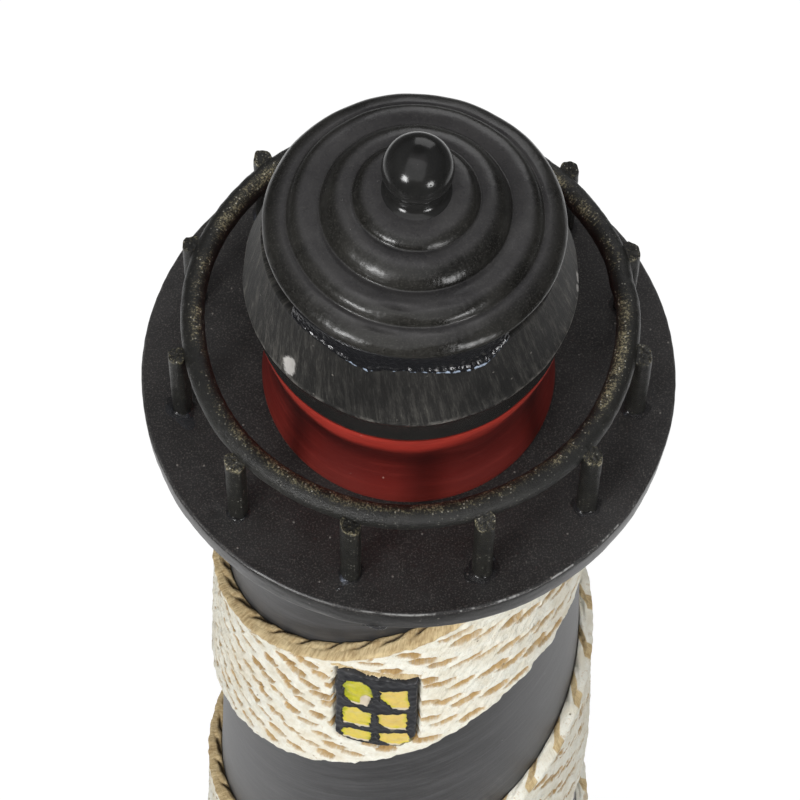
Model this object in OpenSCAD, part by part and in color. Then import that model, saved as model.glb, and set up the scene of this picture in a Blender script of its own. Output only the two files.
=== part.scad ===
// A lighted lighthouse figurine: a tapered tower wrapped by a rising rope band, a gallery
// with a low rail, a red lantern drum and a turned roof, with its lamps and battery base.
// Z points up, the origin is the centre of the base where it rests, and -Y is the front.

/* [Base] */
// Diameter of the bottom step of the plinth
plinth_d = 102; // [102:1:112]
// Diameter of the top step of the plinth
plinth_top_d = 97; // [96:0.5:98]
// Height of the bottom step
plinth_step_h = 8; // [7:0.5:12]
// Height of the whole plinth
plinth_h = 14.5; // [13:0.5:20]
// Diameter of the bore through the plinth
plinth_bore_d = 73; // [72:0.5:74]
// Radius on the plinth's edges
plinth_round = 2.2; // [0.5:0.1:3]
// Diameter of each rubber foot
foot_d = 5.5; // [4:0.5:6]
// Height of a foot below the plinth
foot_proud = 1.5; // [1.2:0.1:3]
// Depth of the foot pockets
foot_pocket = 1; // [0.5:0.1:1.5]
// Radius of the circle that the feet stand on
foot_circle_r = 46.6; // [46.1:0.1:47]

/* [Base cover] */
// Diameter of the cover plate
cover_d = 86; // [85:0.5:87]
// Thickness of the cover plate
cover_t = 2.8; // [2.6:0.1:3.2]
// How far the cover sits above the plinth's underside
cover_inset = 0.9; // [0.5:0.1:2]
// Radius of the circle of cover screws
screw_circle_r = 40; // [39:0.1:40.2]
// Number of cover screws
screw_count = 3; // [3:1:6]
// Diameter of a cover screw's shank
screw_d = 2.2; // [1.6:0.1:2.6]
// Diameter of a cover screw's head
screw_head_d = 4.4; // [3.6:0.1:5]
// Length of a cover screw
screw_len = 9; // [7:0.5:10]

/* [Battery case] */
// Diameter of one cell
cell_d = 10.5; // [10:0.1:11]
// Length of one cell without its stud
cell_len = 43.3; // [42:0.1:44]
// Number of cells side by side
cell_count = 3; // [2:1:3]
// Wall of the battery tray
tray_wall = 1.5; // [1.2:0.1:2]
// Room for the spring and plates beyond the cells
contact_room = 5.2; // [4.5:0.1:6]
// Thickness of the battery door
door_t = 1.6; // [1.4:0.1:2]
// Radius of the hinge pins of the battery door
hinge_pin_r = 0.7; // [0.5:0.05:0.8]
// Length of each hinge pin
hinge_pin_len = 2; // [1:0.1:2.5]

/* [Switch] */
// Width of the switch body
switch_w = 12; // [10:0.5:14]
// Depth of the switch body
switch_deep = 6.4; // [6:0.1:7]
// Height of the switch body
switch_h = 5; // [4:0.1:7]
// Width of the knob along its travel
knob_w = 3; // [2:0.1:4]
// Travel of the knob
knob_travel = 3; // [2:0.1:4]
// Distance of the switch behind the centre
switch_y = 30; // [29:0.5:31]

/* [Tower] */
// Height of the tower wall, from plinth to gallery
tower_h = 252; // [225:1:290]
// Outer radius of the tower at its foot
tower_foot_r = 44.2; // [42:0.1:46]
// Outer radius of the tower under the gallery
tower_top_r = 32.3; // [31:0.1:36]
// Thickness of the tower wall
tower_wall = 3.5; // [2.5:0.1:4]

/* [Rope band] */
// Height of the band, edge to edge, up the wall
band_w = 55; // [40:1:58]
// Rows of strands in the band
band_rows = 8; // [5:1:9]
// Length of one strand along the band
strand_len = 10.5; // [9:0.5:16]
// Thickness of the band in the grooves
band_base_t = 1.5; // [1:0.1:2.5]
// Height of a strand over its grooves
strand_rise = 1.4; // [0.6:0.1:2]
// Rise of the band in one turn near the foot
pitch_low = 110.5; // [100:0.5:120]
// Rise of the band in one turn near the gallery
pitch_high = 117; // [100:1:130]
// How far below the deck the upper edge lies at the front
band_drop = 44.5; // [36:0.5:60]
// How far the band swings up and down in each turn, off an even climb
band_sway = 10.5; // [0:0.5:12]
// Plan angle where that swing is highest
sway_angle = 24; // [0:1:60]

/* [Windows and door] */
// Width of a window frame
window_w = 15.6; // [13:0.2:18]
// Height of a window frame
window_h = 31; // [24:0.5:33]
// Width of the frame's outer bars
frame_bar = 1.9; // [1.4:0.1:2.4]
// Width of the glazing bars
glazing_bar = 1.4; // [1:0.1:1.8]
// Thickness of a window frame
frame_t = 2.4; // [1.6:0.1:2.8]
// Thickness of the amber panes
pane_t = 1.2; // [0.8:0.1:2]
// Direction of the two windows, as a plan angle
window_angle = -97.5; // [-105:0.5:-90]
// How far the upper window's centre lies below the deck
window_drop = 75.5; // [73:0.5:82]
// Width of the tower door with its surround
entry_w = 22; // [18:0.5:26]
// Height of the tower door with its surround
entry_h = 38; // [32:0.5:44]
// Width of the door surround
surround_bar = 2.6; // [2:0.1:3.2]
// How far the surround stands off the wall
surround_t = 3.4; // [3:0.1:4]
// Thickness of the door leaf
leaf_t = 1.6; // [1:0.1:2.2]

/* [Gallery] */
// Diameter of the deck
deck_d = 96; // [92:1:110]
// Thickness of the deck at its edge
deck_t = 8; // [6:0.5:10]
// Height of the hollow moulding under the deck
corbel_h = 12; // [10:0.5:16]
// How far the deck's edge overhangs the moulding
deck_nosing = 4.5; // [2:0.5:6]
// Number of rail posts
post_count = 12; // [8:1:16]
// Diameter of a rail post
post_d = 3.6; // [3:0.1:4.4]
// Height of a rail post over the deck
post_h = 21.2; // [17:0.1:24]
// Radius of the circle of posts
post_circle_r = 41.1; // [40:0.1:43]
// Plan angle of the first post
post_start = 136; // [120:1:150]
// How far the spacing of the posts drifts, in degrees
post_drift = 5.3; // [0:0.1:6]
// Depth of the post holes in the deck
post_seat = 2; // [1:0.5:4]
// Diameter of the rail's round bar
rail_bar_d = 3.4; // [2.6:0.1:4]
// Height of the rail's centre over the deck
rail_h = 19.9; // [15:0.1:22]

/* [Lantern] */
// Height of the red drum
drum_h = 26; // [20:0.5:34]
// Radius of the drum at the deck
drum_foot_r = 26.2; // [24:0.1:28]
// Radius of the drum at its waist
drum_waist_r = 24.7; // [23:0.1:26]
// Radius of the drum at its top
drum_top_r = 26.8; // [25.6:0.1:28]
// Wall of the drum
drum_wall = 2; // [1.5:0.1:2.5]
// Diameter of the lamps
lamp_d = 5; // [3:0.5:6]

/* [Roof] */
// Height of the plain band under the dome, with its lip
skirt_h = 24; // [20:0.5:32]
// Height of the lip, from the drum to the widest edge
lip_h = 10; // [6:0.1:12]
// Radius at the widest edge of the skirt
skirt_r = 28.6; // [28:0.1:31]
// Radius of the skirt under the dome
skirt_top_r = 25.2; // [24.8:0.1:25.4]
// Radius of the dome's rim
dome_r = 25.6; // [25.5:0.1:27]
// Height of the dome, from rim to crown
dome_h = 14.2; // [12:0.1:18]
// Wall of the hollow roof
cap_wall = 3; // [2:0.1:4]
// Radius of the first groove, inside the brim
brim_groove_r = 21.4; // [20:0.1:22]
// Radius of the second groove
ring_groove_r = 15.9; // [14.5:0.1:17]
// Radius of the third groove, round the cap
cap_groove_r = 10.5; // [9.5:0.1:12]
// Radius of the finial's ball
ball_r = 6; // [4:0.1:8]
// Radius of the finial's neck
neck_r = 4.9; // [3.5:0.1:5.2]
// Length of the neck that shows
neck_h = 3; // [1:0.1:4]

/* [Fits] */
// Radial clearance of the hinge pins in their holes
pin_fit = 0.05; // [0.02:0.01:0.1]
// Gap round the battery door and the knob
moving_gap = 0.3; // [0.2:0.05:0.5]
// Gap between pieces that are glued or pushed together
seat_gap = 0.1; // [0.05:0.01:0.2]

/* [Hidden] */
$fn = 96;

black = [0.11, 0.11, 0.11];
charcoal = [0.24, 0.24, 0.25];
rope = [0.93, 0.91, 0.83];
amber = [0.94, 0.80, 0.32];
red = [0.55, 0.07, 0.05];
steel = [0.75, 0.76, 0.78];
board_green = [0.12, 0.35, 0.2];

tiny = 0.01;
over = 1;
plinth_z = foot_proud;
tower_z = plinth_z + plinth_h;
tower_top_z = tower_z + tower_h;
deck_z = tower_top_z + corbel_h + deck_t;
skirt_z = deck_z + drum_h;
dome_z = skirt_z + skirt_h;
crown_z = dome_z + dome_h;
ball_z = crown_z + neck_h + ball_r * cos(asin(neck_r / ball_r));

function mix(a, b, t) = a + (b - a) * t;
function arc(cx, cy, r, from, to, steps) =
  [for (i = [0 : steps]) let (a = mix(from, to, i / steps)) [cx + r * cos(a), cy + r * sin(a)]];

// Outer radius of the tower wall at a height, and the radius of its inner face.
function wall_r(z) = mix(tower_foot_r, tower_top_r, (z - tower_z) / tower_h);
function bore_r(z) = wall_r(z) - tower_wall;

// A cone frustum that keeps a fixed distance from the tower's outer face.
module wall_cone(low, high, off) {
  translate([0, 0, low])
    cylinder(h = high - low, r1 = wall_r(low) + off, r2 = wall_r(high) + off);
}

// Moves a shape so that its +X is the outward direction at a plan angle.
module facing(angle, z) { rotate([0, 0, angle]) translate([0, 0, z]) children(); }

// Base

plinth_bore_r = plinth_bore_d / 2;
cover_z = plinth_z + cover_inset;
cover_top = cover_z + cover_t;
recess_r = cover_d / 2 + seat_gap;

module base_plinth() {
  top = tower_z;
  step = plinth_z + plinth_step_h;
  r = plinth_round;
  wide = plinth_d / 2;
  narrow = plinth_top_d / 2;
  color(black) difference() {
    rotate_extrude()
      polygon(concat(
        [[plinth_bore_r, cover_top + seat_gap], [recess_r, cover_top + seat_gap],
         [recess_r, plinth_z], [wide - r / 2, plinth_z], [wide, plinth_z + r / 2]],
        arc(wide - r, step - r, r, 0, 90, 8),
        arc(narrow, step + r / 2, r / 2, 270, 180, 4),
        arc(narrow - r, top - r, r, 0, 90, 8),
        [[plinth_bore_r, top]]));
    for (i = [0 : 3]) rotate([0, 0, 45 + 90 * i]) translate([foot_circle_r, 0, plinth_z - over])
      cylinder(h = over + foot_pocket, d = foot_d + 2 * seat_gap);
    for (i = [0 : screw_count - 1]) rotate([0, 0, 30 + 360 / screw_count * i])
      translate([screw_circle_r, 0, cover_z]) cylinder(h = screw_len, d = screw_d + 2 * seat_gap);
  }
}

module rubber_feet() {
  edge = 0.8;
  h = foot_proud + foot_pocket;
  color(charcoal) for (i = [0 : 3]) rotate([0, 0, 45 + 90 * i]) translate([foot_circle_r, 0, 0])
    rotate_extrude() polygon(concat([[0, 0], [foot_d / 2 - edge, 0]],
      arc(foot_d / 2 - edge, edge, edge, 270, 360, 5), [[foot_d / 2, h], [0, h]]));
}

// Battery case. The cells lie along X, and the door swings down at its -X end.

tray_in_l = cell_len + contact_room + 2.5;
tray_in_w = cell_d * cell_count + 1;
tray_l = tray_in_l + 2 * tray_wall;
tray_w = tray_in_w + 2 * tray_wall;
door_l = tray_in_l - 1;
door_w = tray_in_w - 2;
door_z = cover_z;
cell_z = door_z + door_t + 0.8 + cell_d / 2;
tray_top = cell_z + cell_d / 2 + 0.5 + tray_wall;
knuckle_r = hinge_pin_r + 0.6;
hinge_x = -door_l / 2 + knuckle_r;
hinge_z = door_z + knuckle_r;

module base_cover() {
  dip_r = 7;
  color(charcoal) difference() {
    translate([0, 0, cover_z]) cylinder(h = cover_t, d = cover_d);
    translate([-door_l / 2 - moving_gap, -door_w / 2 - moving_gap, cover_z - over])
      cube([door_l + 2 * moving_gap, door_w + 2 * moving_gap, cover_t + 2 * over]);
    // Holes for the hinge pins, out past each side of the door.
    translate([hinge_x, 0, hinge_z]) rotate([90, 0, 0])
      cylinder(h = door_w + 2 * moving_gap + 2 * hinge_pin_len, r = hinge_pin_r + pin_fit, center = true, $fn = 32);
    // Finger dip at the latch end of the door.
    translate([door_l / 2 + 3, 0, cover_z + 1.4 - dip_r]) sphere(r = dip_r, $fn = 48);
    // Slot for the switch knob.
    translate([-knob_w / 2 - moving_gap, switch_y - knob_w / 2 - moving_gap, cover_z - over])
      cube([knob_w + knob_travel + 2 * moving_gap, knob_w + 2 * moving_gap, cover_t + 2 * over]);
    // Blind holes for the switch's screws.
    switch_holes() translate([0, 0, cover_top - 2]) cylinder(h = 3, d = tap_d + 0.1, $fn = 24);
    for (i = [0 : screw_count - 1]) rotate([0, 0, 30 + 360 / screw_count * i])
      translate([screw_circle_r, 0, 0]) {
        translate([0, 0, cover_z - over]) cylinder(h = cover_t + 2 * over, d = screw_d + 0.4, $fn = 32);
        translate([0, 0, cover_z - tiny])
          cylinder(h = (screw_head_d - screw_d) / 2 + 0.1, d1 = screw_head_d + 0.4, d2 = screw_d + 0.4, $fn = 32);
      }
  }
}

module cover_screws() {
  cone_h = (screw_head_d - screw_d) / 2;
  color(steel) for (i = [0 : screw_count - 1]) rotate([0, 0, 30 + 360 / screw_count * i])
    translate([screw_circle_r, 0, cover_z + 0.2]) difference() {
      union() {
        cylinder(h = cone_h, d1 = screw_head_d, d2 = screw_d, $fn = 32);
        cylinder(h = screw_len - 1, d = screw_d, $fn = 32);
      }
      for (a = [0, 90]) rotate([0, 0, a]) cube([screw_head_d * 0.6, 0.6, 1.2], center = true);
    }
}

module battery_tray() {
  rail_h = 3.2;
  color(black) translate([0, 0, cover_top]) difference() {
    translate([-tray_l / 2, -tray_w / 2, 0]) cube([tray_l, tray_w, tray_top - cover_top]);
    translate([-tray_in_l / 2, -tray_in_w / 2, -over])
      cube([tray_in_l, tray_in_w, tray_top - cover_top - tray_wall - rail_h + over]);
    // Each cell lies in its own trough between low ribs.
    for (i = [0 : cell_count - 1]) translate([-tray_in_l / 2, cell_y(i), cell_z - cover_top])
      rotate([0, 90, 0]) cylinder(h = tray_in_l, d = cell_d + 0.6);
    // Lead slots in the two end walls.
    for (s = [-1, 1]) translate([s * (tray_l / 2 - tray_wall / 2), 0, lead_out_z - cover_top])
      for (y = [-lead_out_y, lead_out_y])
        translate([0, y, 0]) rotate([0, 90, 0]) cylinder(h = tray_wall + 2, r = lead_r + 0.3, center = true, $fn = 24);
  }
}

module battery_door() {
  tongue_w = 9;
  grip_count = 5;
  color(black) difference() {
    union() {
      translate([hinge_x, -door_w / 2, door_z]) cube([door_l / 2 - hinge_x, door_w, door_t]);
      translate([hinge_x, 0, hinge_z]) rotate([90, 0, 0])
        cylinder(h = door_w, r = knuckle_r, center = true, $fn = 48);
      translate([hinge_x, 0, hinge_z]) rotate([90, 0, 0])
        cylinder(h = door_w + 2 * moving_gap + 2 * hinge_pin_len - 0.4, r = hinge_pin_r, center = true, $fn = 32);
      // Latch tongue, folded up inside the cover's edge.
      translate([door_l / 2 - 1.2, -tongue_w / 2, door_z]) cube([1.2, tongue_w, cover_t + 1]);
    }
    // Slits beside the tongue let it bend.
    for (s = [-1, 1]) translate([door_l / 2 - 7, s * (tongue_w / 2 + 0.5) - 0.5, door_z - over])
      cube([8, 1, door_t + 2 * over]);
    for (i = [0 : grip_count - 1]) translate([door_l / 2 - 9 - 1.8 * i, -6, door_z - over])
      cube([0.8, 12, over + 0.4]);
  }
}

function cell_y(i) = (i - (cell_count - 1) / 2) * cell_d;
cell_stud = 1;
stud_x = tray_in_l / 2 - 0.8;

module battery_cells() {
  round_over = 0.5;
  color(rope) for (i = [0 : cell_count - 1]) translate([0, cell_y(i), cell_z])
    mirror([i % 2, 0, 0]) translate([stud_x - cell_stud - cell_len, 0, 0]) rotate([0, 90, 0])
      rotate_extrude() polygon([
        [0, 0], [cell_d / 2 - 0.1 - round_over, 0], [cell_d / 2 - 0.1, round_over],
        [cell_d / 2 - 0.1, cell_len - round_over], [cell_d / 2 - 0.1 - round_over, cell_len],
        [1.9, cell_len], [1.9, cell_len + cell_stud], [0, cell_len + cell_stud]]);
}

plate_t = 0.4;
module contact_plates() {
  plate_w = cell_d * 0.72;
  plate_h = plate_w;
  color(steel) for (i = [0 : cell_count - 1], s = [-1, 1])
    translate([s * (tray_in_l / 2 - plate_t / 2 - 0.1), cell_y(i), cell_z])
      cube([plate_t, plate_w, plate_h], center = true);
}

// One unbroken wound wire: a tube swept along a cone helix, flat at both ends.
spring_turns = 4;
spring_wire_r = 0.3;
module contact_springs() {
  wide_r = 3.2;
  end_r = 2;
  start_x = -tray_in_l / 2 + 0.1 + plate_t + spring_wire_r + 0.1;
  free_l = tray_in_l / 2 + stud_x - cell_stud - cell_len - 0.1 - plate_t - 0.9;
  steps = 8 * spring_turns;
  color(steel) for (i = [0 : cell_count - 1]) translate([0, cell_y(i), cell_z]) mirror([i % 2, 0, 0])
    sweep_tube([for (k = [0 : steps]) let (t = k / steps, a = 360 * spring_turns * t, r = mix(wide_r, end_r, t))
      [start_x + free_l * t, r * cos(a), r * sin(a)]], spring_wire_r, 6);
  echo("least gap between two turns", norm([free_l, wide_r - end_r]) / spring_turns - 2 * spring_wire_r);
}

// Tube with flat ends: a ring of points square to the path at each of its points.
function unit(v) = v / norm(v);
function sweep_dir(path, k) =
  unit(path[min(k + 1, len(path) - 1)] - path[max(k - 1, 0)]);
function sweep_side(d) = unit(cross(d, abs(d[2]) < 0.9 ? [0, 0, 1] : [0.2, 1, 0]));
module sweep_tube(path, r, sides) {
  n = len(path);
  points = [for (k = [0 : n - 1])
    let (d = sweep_dir(path, k), u = sweep_side(d), w = cross(d, u))
    for (j = [0 : sides - 1]) path[k] + r * (cos(360 / sides * j) * u + sin(360 / sides * j) * w)];
  walls = [for (k = [0 : n - 2], j = [0 : sides - 1])
    let (a = k * sides + j, b = k * sides + (j + 1) % sides) each
      [[a, b + sides, b], [a, a + sides, b + sides]]];
  ends = [[for (j = [0 : sides - 1]) j], [for (j = [sides - 1 : -1 : 0]) (n - 1) * sides + j]];
  polyhedron(points, concat(walls, ends));
}

// Switch, on the cover beside the battery case

switch_z = cover_top;
switch_mid = knob_travel / 2;
switch_ear = 4;
ear_t = 0.8;
tap_d = 1.6;
carrier_w = knob_w + 2.4;
carrier_deep = knob_w + 1.4;
carrier_t = 1.2;

// Places a shape at each of the switch's two screws.
module switch_holes() {
  for (s = [-1, 1]) translate([switch_mid + s * (switch_w + switch_ear) / 2, switch_y, 0]) children();
}

module switch_body() {
  pocket_w = carrier_w + knob_travel + 2 * moving_gap;
  pocket_deep = carrier_deep + 2 * moving_gap;
  color(steel) difference() {
    translate([switch_mid - switch_w / 2, switch_y - switch_deep / 2, switch_z]) {
      cube([switch_w, switch_deep, switch_h]);
      translate([-switch_ear, 0, 0]) cube([switch_w + 2 * switch_ear, switch_deep, ear_t]);
    }
    translate([switch_mid - pocket_w / 2, switch_y - pocket_deep / 2, switch_z - over])
      cube([pocket_w, pocket_deep, over + carrier_t + 2 * moving_gap]);
    switch_holes() translate([0, 0, switch_z - over]) cylinder(h = 2 * over + ear_t, d = tap_d + 0.4, $fn = 24);
  }
}

module switch_screws() {
  head_d = 3;
  head_h = 1;
  shank = ear_t + 1.7;
  color(steel) switch_holes() translate([0, 0, switch_z + ear_t - shank + 0.05]) difference() {
    union() {
      cylinder(h = shank + 0.1, d = tap_d, $fn = 24);
      translate([0, 0, shank]) cylinder(h = head_h, d = head_d, $fn = 32);
    }
    translate([-head_d, -0.25, shank + head_h / 2]) cube([2 * head_d, 0.5, head_h]);
  }
}

// The knob hangs from a carrier that slides on the cover, inside the switch body.
module switch_knob() {
  groove = 0.5;
  low = plinth_z;
  carrier_z = switch_z + moving_gap;
  color(black) difference() {
    union() {
      translate([-knob_w / 2, switch_y - knob_w / 2, low]) cube([knob_w, knob_w, carrier_z - low + tiny]);
      translate([-carrier_w / 2, switch_y - carrier_deep / 2, carrier_z]) cube([carrier_w, carrier_deep, carrier_t]);
    }
    for (x = [-0.9, 0, 0.9]) translate([x - groove / 2, switch_y - knob_w, low - over])
      cube([groove, 2 * knob_w, over + groove]);
  }
}

// Tower

// The band's upper edge climbs by pitch_low a turn near the foot, and by pitch_high a turn
// from blend_to on, steeper at the front than behind. The angle runs on below zero for the
// turns under the front.
blend_from = -480;
blend_to = -110;
front_angle = -93;
function ease(t) = t < 0 ? 0 : t > 1 ? t - 0.5 : t * t * t - t * t * t * t / 2;
function climb(a) = pitch_low * a / 360
  + (pitch_high - pitch_low) * (blend_to - blend_from) / 360 * ease((a - blend_from) / (blend_to - blend_from));
function sway(a) = band_sway * cos(a - sway_angle);
function band_top(a) = deck_z - band_drop + climb(a) - climb(front_angle) + sway(a) - sway(front_angle);

upper_window_z = deck_z - window_drop;
lower_window_z = upper_window_z - climb(window_angle) + climb(window_angle - 360);
// The lower window keeps the same place in the band, one turn down.
light_w = window_w - 2 * frame_bar + 0.6;
light_h = window_h - 2 * frame_bar + 0.6;
entry_angle = -90;

module window_block(angle, z, w, h) {
  facing(angle, z) translate([0, -w / 2, -h / 2]) cube([tower_foot_r + 10, w, h]);
}

module arch_block(w, h, z) {
  facing(entry_angle, z) rotate([90, 0, 90]) linear_extrude(tower_foot_r + 10) arch(w, h);
}

module arch(w, h) {
  translate([-w / 2, 0]) square([w, h - w / 2]);
  translate([0, h - w / 2]) circle(d = w);
}

module tower_shell() {
  color(charcoal) difference() {
    wall_cone(tower_z, tower_top_z, 0);
    wall_cone(tower_z - over, tower_top_z + over, -tower_wall);
    window_block(window_angle, upper_window_z, light_w, light_h);
    window_block(window_angle, lower_window_z, light_w, light_h);
  }
}

// Thickness of the band: long strands laid in rows like bricks, each swelling to its middle.
mid_r = (tower_foot_r + tower_top_r) / 2;
function strand_phase(a, row) =
  let (p = a * PI / 180 * mid_r / strand_len + row * 0.5 + 0.13 * sin(row * 97)) p - floor(p);
function strand_swell(p) = 1 - pow(abs(2 * p - 1), 3);
function band_t(a, row) = band_base_t + strand_rise * (0.45 + 0.55 * strand_swell(strand_phase(a, row)));

module rope_band() {
  // It starts and ends where it has run off the wall, or where it comes to the entry too low
  // to pass over it.
  beside_entry = floor(asin(entry_w / 2 / tower_foot_r)) - 2;
  first = max(concat(
    [for (a = [-1800 : 2 : front_angle]) if (band_top(a) < tower_z - 1) a],
    [for (k = [1 : 4]) let (a = entry_angle - 360 * k - beside_entry)
      if (band_top(a) < tower_z + entry_h + surround_bar) a]));
  last = min([for (a = [front_angle : 2 : 1200]) if (band_top(a) - band_w > tower_top_z + 1) a]);
  columns = 200;
  lines = 2 * band_rows + 1;
  ring = lines + 2;
  back = 0.1;
  points = [for (c = [0 : columns])
    let (a = mix(first, last, c / columns), low = band_top(a) - band_w)
    each concat(
      [[wall_r(low) + back, a, low]],
      [for (k = [0 : lines - 1])
        let (z = low + band_w * k / (lines - 1),
             t = k == 0 || k == lines - 1 ? band_base_t + strand_rise
               : k % 2 == 0 ? band_base_t : band_t(a, (k - 1) / 2))
        [wall_r(z) + t, a, z]],
      [[wall_r(low + band_w) + back, a, low + band_w]])];
  sides = [for (c = [0 : columns - 1], k = [0 : ring - 1])
    let (p = c * ring + k, q = c * ring + (k + 1) % ring) each
      [[p, p + ring, q + ring], [p, q + ring, q]]];
  ends = [[for (k = [0 : ring - 1]) k], [for (k = [ring - 1 : -1 : 0]) columns * ring + k]];
  color(rope) difference() {
    intersection() {
      polyhedron([for (p = points) [p[0] * cos(p[1]), p[0] * sin(p[1]), p[2]]], concat(sides, ends));
      translate([0, 0, tower_z + seat_gap]) cylinder(h = tower_h - seat_gap, r = tower_foot_r + 8);
    }
    window_block(window_angle, upper_window_z, window_w + 0.8, window_h + 0.8);
    window_block(window_angle, lower_window_z, window_w + 0.8, window_h + 0.8);
    translate([0, 0, -over]) arch_block(entry_w + 0.8, entry_h + 0.4 + over, tower_z);
  }
}

// A frame bent round the wall, with two columns of three lights.
module window_frame(angle, z) {
  low = z - window_h / 2;
  high = z + window_h / 2;
  pane_w = (window_w - 2 * frame_bar - glazing_bar) / 2;
  pane_h = (window_h - 2 * frame_bar - 2 * glazing_bar) / 3;
  color(charcoal) difference() {
    intersection() {
      wall_cone(low, high, seat_gap + frame_t);
      window_block(angle, z, window_w, window_h);
    }
    wall_cone(low - over, high + over, seat_gap);
    for (i = [-0.5, 0.5], j = [-1 : 1])
      facing(angle, z) translate([0, i * (pane_w + glazing_bar) - pane_w / 2, j * (pane_h + glazing_bar) - pane_h / 2])
        cube([tower_foot_r + 10, pane_w, pane_h]);
  }
}

module window_panes(angle, z) {
  w = light_w - 2 * seat_gap;
  h = light_h - 2 * seat_gap;
  color(amber) difference() {
    intersection() {
      wall_cone(z - h / 2, z + h / 2, 0);
      window_block(angle, z, w, h);
    }
    wall_cone(z - h / 2 - over, z + h / 2 + over, -pane_t);
  }
}

module upper_window_frame() { window_frame(window_angle, upper_window_z); }
module upper_window_panes() { window_panes(window_angle, upper_window_z); }
module lower_window_frame() { window_frame(window_angle, lower_window_z); }
module lower_window_panes() { window_panes(window_angle, lower_window_z); }

module entry_surround() {
  inner_w = entry_w - 2 * surround_bar;
  inner_h = entry_h - surround_bar;
  color(charcoal) difference() {
    intersection() {
      wall_cone(tower_z + seat_gap, tower_z + entry_h + over, surround_t);
      arch_block(entry_w, entry_h, tower_z);
    }
    wall_cone(tower_z - over, tower_z + entry_h + 2 * over, seat_gap);
    translate([0, 0, -over]) arch_block(inner_w, inner_h + over, tower_z);
  }
}

module entry_door() {
  w = entry_w - 2 * surround_bar - 2 * seat_gap;
  h = entry_h - surround_bar - seat_gap;
  planks = 4;
  groove = 0.5;
  color([0.3, 0.16, 0.1]) difference() {
    intersection() {
      wall_cone(tower_z + seat_gap, tower_z + entry_h, leaf_t);
      arch_block(w, h, tower_z);
    }
    wall_cone(tower_z - over, tower_z + entry_h + over, seat_gap);
    // Grooves between the planks.
    difference() {
      for (i = [1 : planks - 1]) facing(entry_angle, tower_z)
        translate([0, w * (i / planks - 0.5) - groove / 2, 0]) cube([tower_foot_r + 10, groove, entry_h]);
      wall_cone(tower_z - 2 * over, tower_z + entry_h + 2 * over, leaf_t - groove);
    }
  }
}

module entry_knob() {
  z = tower_z + entry_h * 0.42;
  y = entry_w / 2 - surround_bar - 2.6;
  knob_r = 1.1;
  plane = wall_r(z) * cos(asin(y / wall_r(z))) + leaf_t;
  color("goldenrod") facing(entry_angle, z) translate([plane + 0.1, y, 0]) rotate([0, 90, 0]) {
    cylinder(h = 0.8, r = 0.6, $fn = 24);
    translate([0, 0, 0.6 + knob_r * 0.8]) sphere(r = knob_r, $fn = 24);
  }
}

// Gallery

deck_r = deck_d / 2;
bush_r = 8.8;
cavity_r = tower_top_r - tower_wall - 2;

module gallery_deck() {
  nose = 2.5;
  edge_r = 0.8;
  edge_slant = 0.4;
  under_r = deck_r - deck_nosing;
  cove_w = under_r - tower_top_r;
  floor_z = deck_z - deck_t;
  spigot_h = 3;
  color(black) difference() {
    rotate_extrude()
      polygon(concat(
        [[bush_r + seat_gap, deck_z], [bush_r + seat_gap, floor_z - 1]],
        [[cavity_r, floor_z - 1], [cavity_r, tower_top_z - spigot_h],
         [cavity_r + 1.5, tower_top_z - spigot_h], [cavity_r + 1.5, tower_top_z], [tower_top_r, tower_top_z]],
        [for (i = [0 : 10]) let (a = 9 * i)
          [tower_top_r + 0.6 + (cove_w - 0.6) * (1 - cos(a)), tower_top_z + 1 + (corbel_h - 1) * sin(a)]],
        arc(deck_r - nose - edge_slant, floor_z + nose, nose, 270, 360, 8),
        arc(deck_r - edge_r, deck_z - edge_r, edge_r, 0, 90, 5)));
    for (k = [0 : post_count - 1]) rotate([0, 0, post_angle(k)]) translate([post_circle_r, 0, deck_z - post_seat])
      cylinder(h = post_seat + over, d = post_d + 2 * seat_gap, $fn = 32);
  }
}

// The posts are set by eye, so their spacing drifts round the deck.
function post_angle(k) = post_start + 360 / post_count * k + post_drift * sin(360 / post_count * k - 108);

module rail_posts() {
  color(black) for (k = [0 : post_count - 1]) rotate([0, 0, post_angle(k)]) translate([post_circle_r, 0, 0])
    difference() {
      translate([0, 0, deck_z - post_seat + 0.05]) cylinder(h = post_h + post_seat, d = post_d, $fn = 32);
      // Each post is snipped off at its own slant.
      translate([0, 0, deck_z + post_h - 0.9]) rotate([0, 0, 137 * k]) rotate([14 + 9 * sin(80 * k), 0, 0])
        translate([-post_d, -post_d, 0]) cube([2 * post_d, 2 * post_d, 6]);
    }
}

module rail_ring() {
  rail_r = post_circle_r - post_d / 2 - rail_bar_d / 2 - 0.02;
  color(black) rotate_extrude() translate([rail_r, deck_z + rail_h]) circle(d = rail_bar_d, $fn = 48);
}

// Lantern

function drum_r(t) =
  t < 0.5 ? mix(drum_waist_r, drum_foot_r, pow(1 - 2 * t, 2)) : mix(drum_waist_r, drum_top_r, pow(2 * t - 1, 2));

module lantern_drum() {
  steps = 20;
  color(red) rotate_extrude() polygon(concat(
    [for (i = [0 : steps]) [drum_r(i / steps), deck_z + drum_h * i / steps]],
    [for (i = [steps : -1 : 0]) [drum_r(i / steps) - drum_wall, deck_z + drum_h * i / steps]]));
}

holder_top = deck_z + 1.6;
module lamp_holder() {
  flange_r = bush_r + 2.2;
  lamp_hole = lamp_d / 2 + seat_gap;
  color("ivory") rotate_extrude() polygon([
    [lamp_hole, deck_z - deck_t - 1], [bush_r, deck_z - deck_t - 1], [bush_r, deck_z],
    [flange_r, deck_z], [flange_r - 0.4, holder_top], [lamp_hole, holder_top]]);
}

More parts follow.
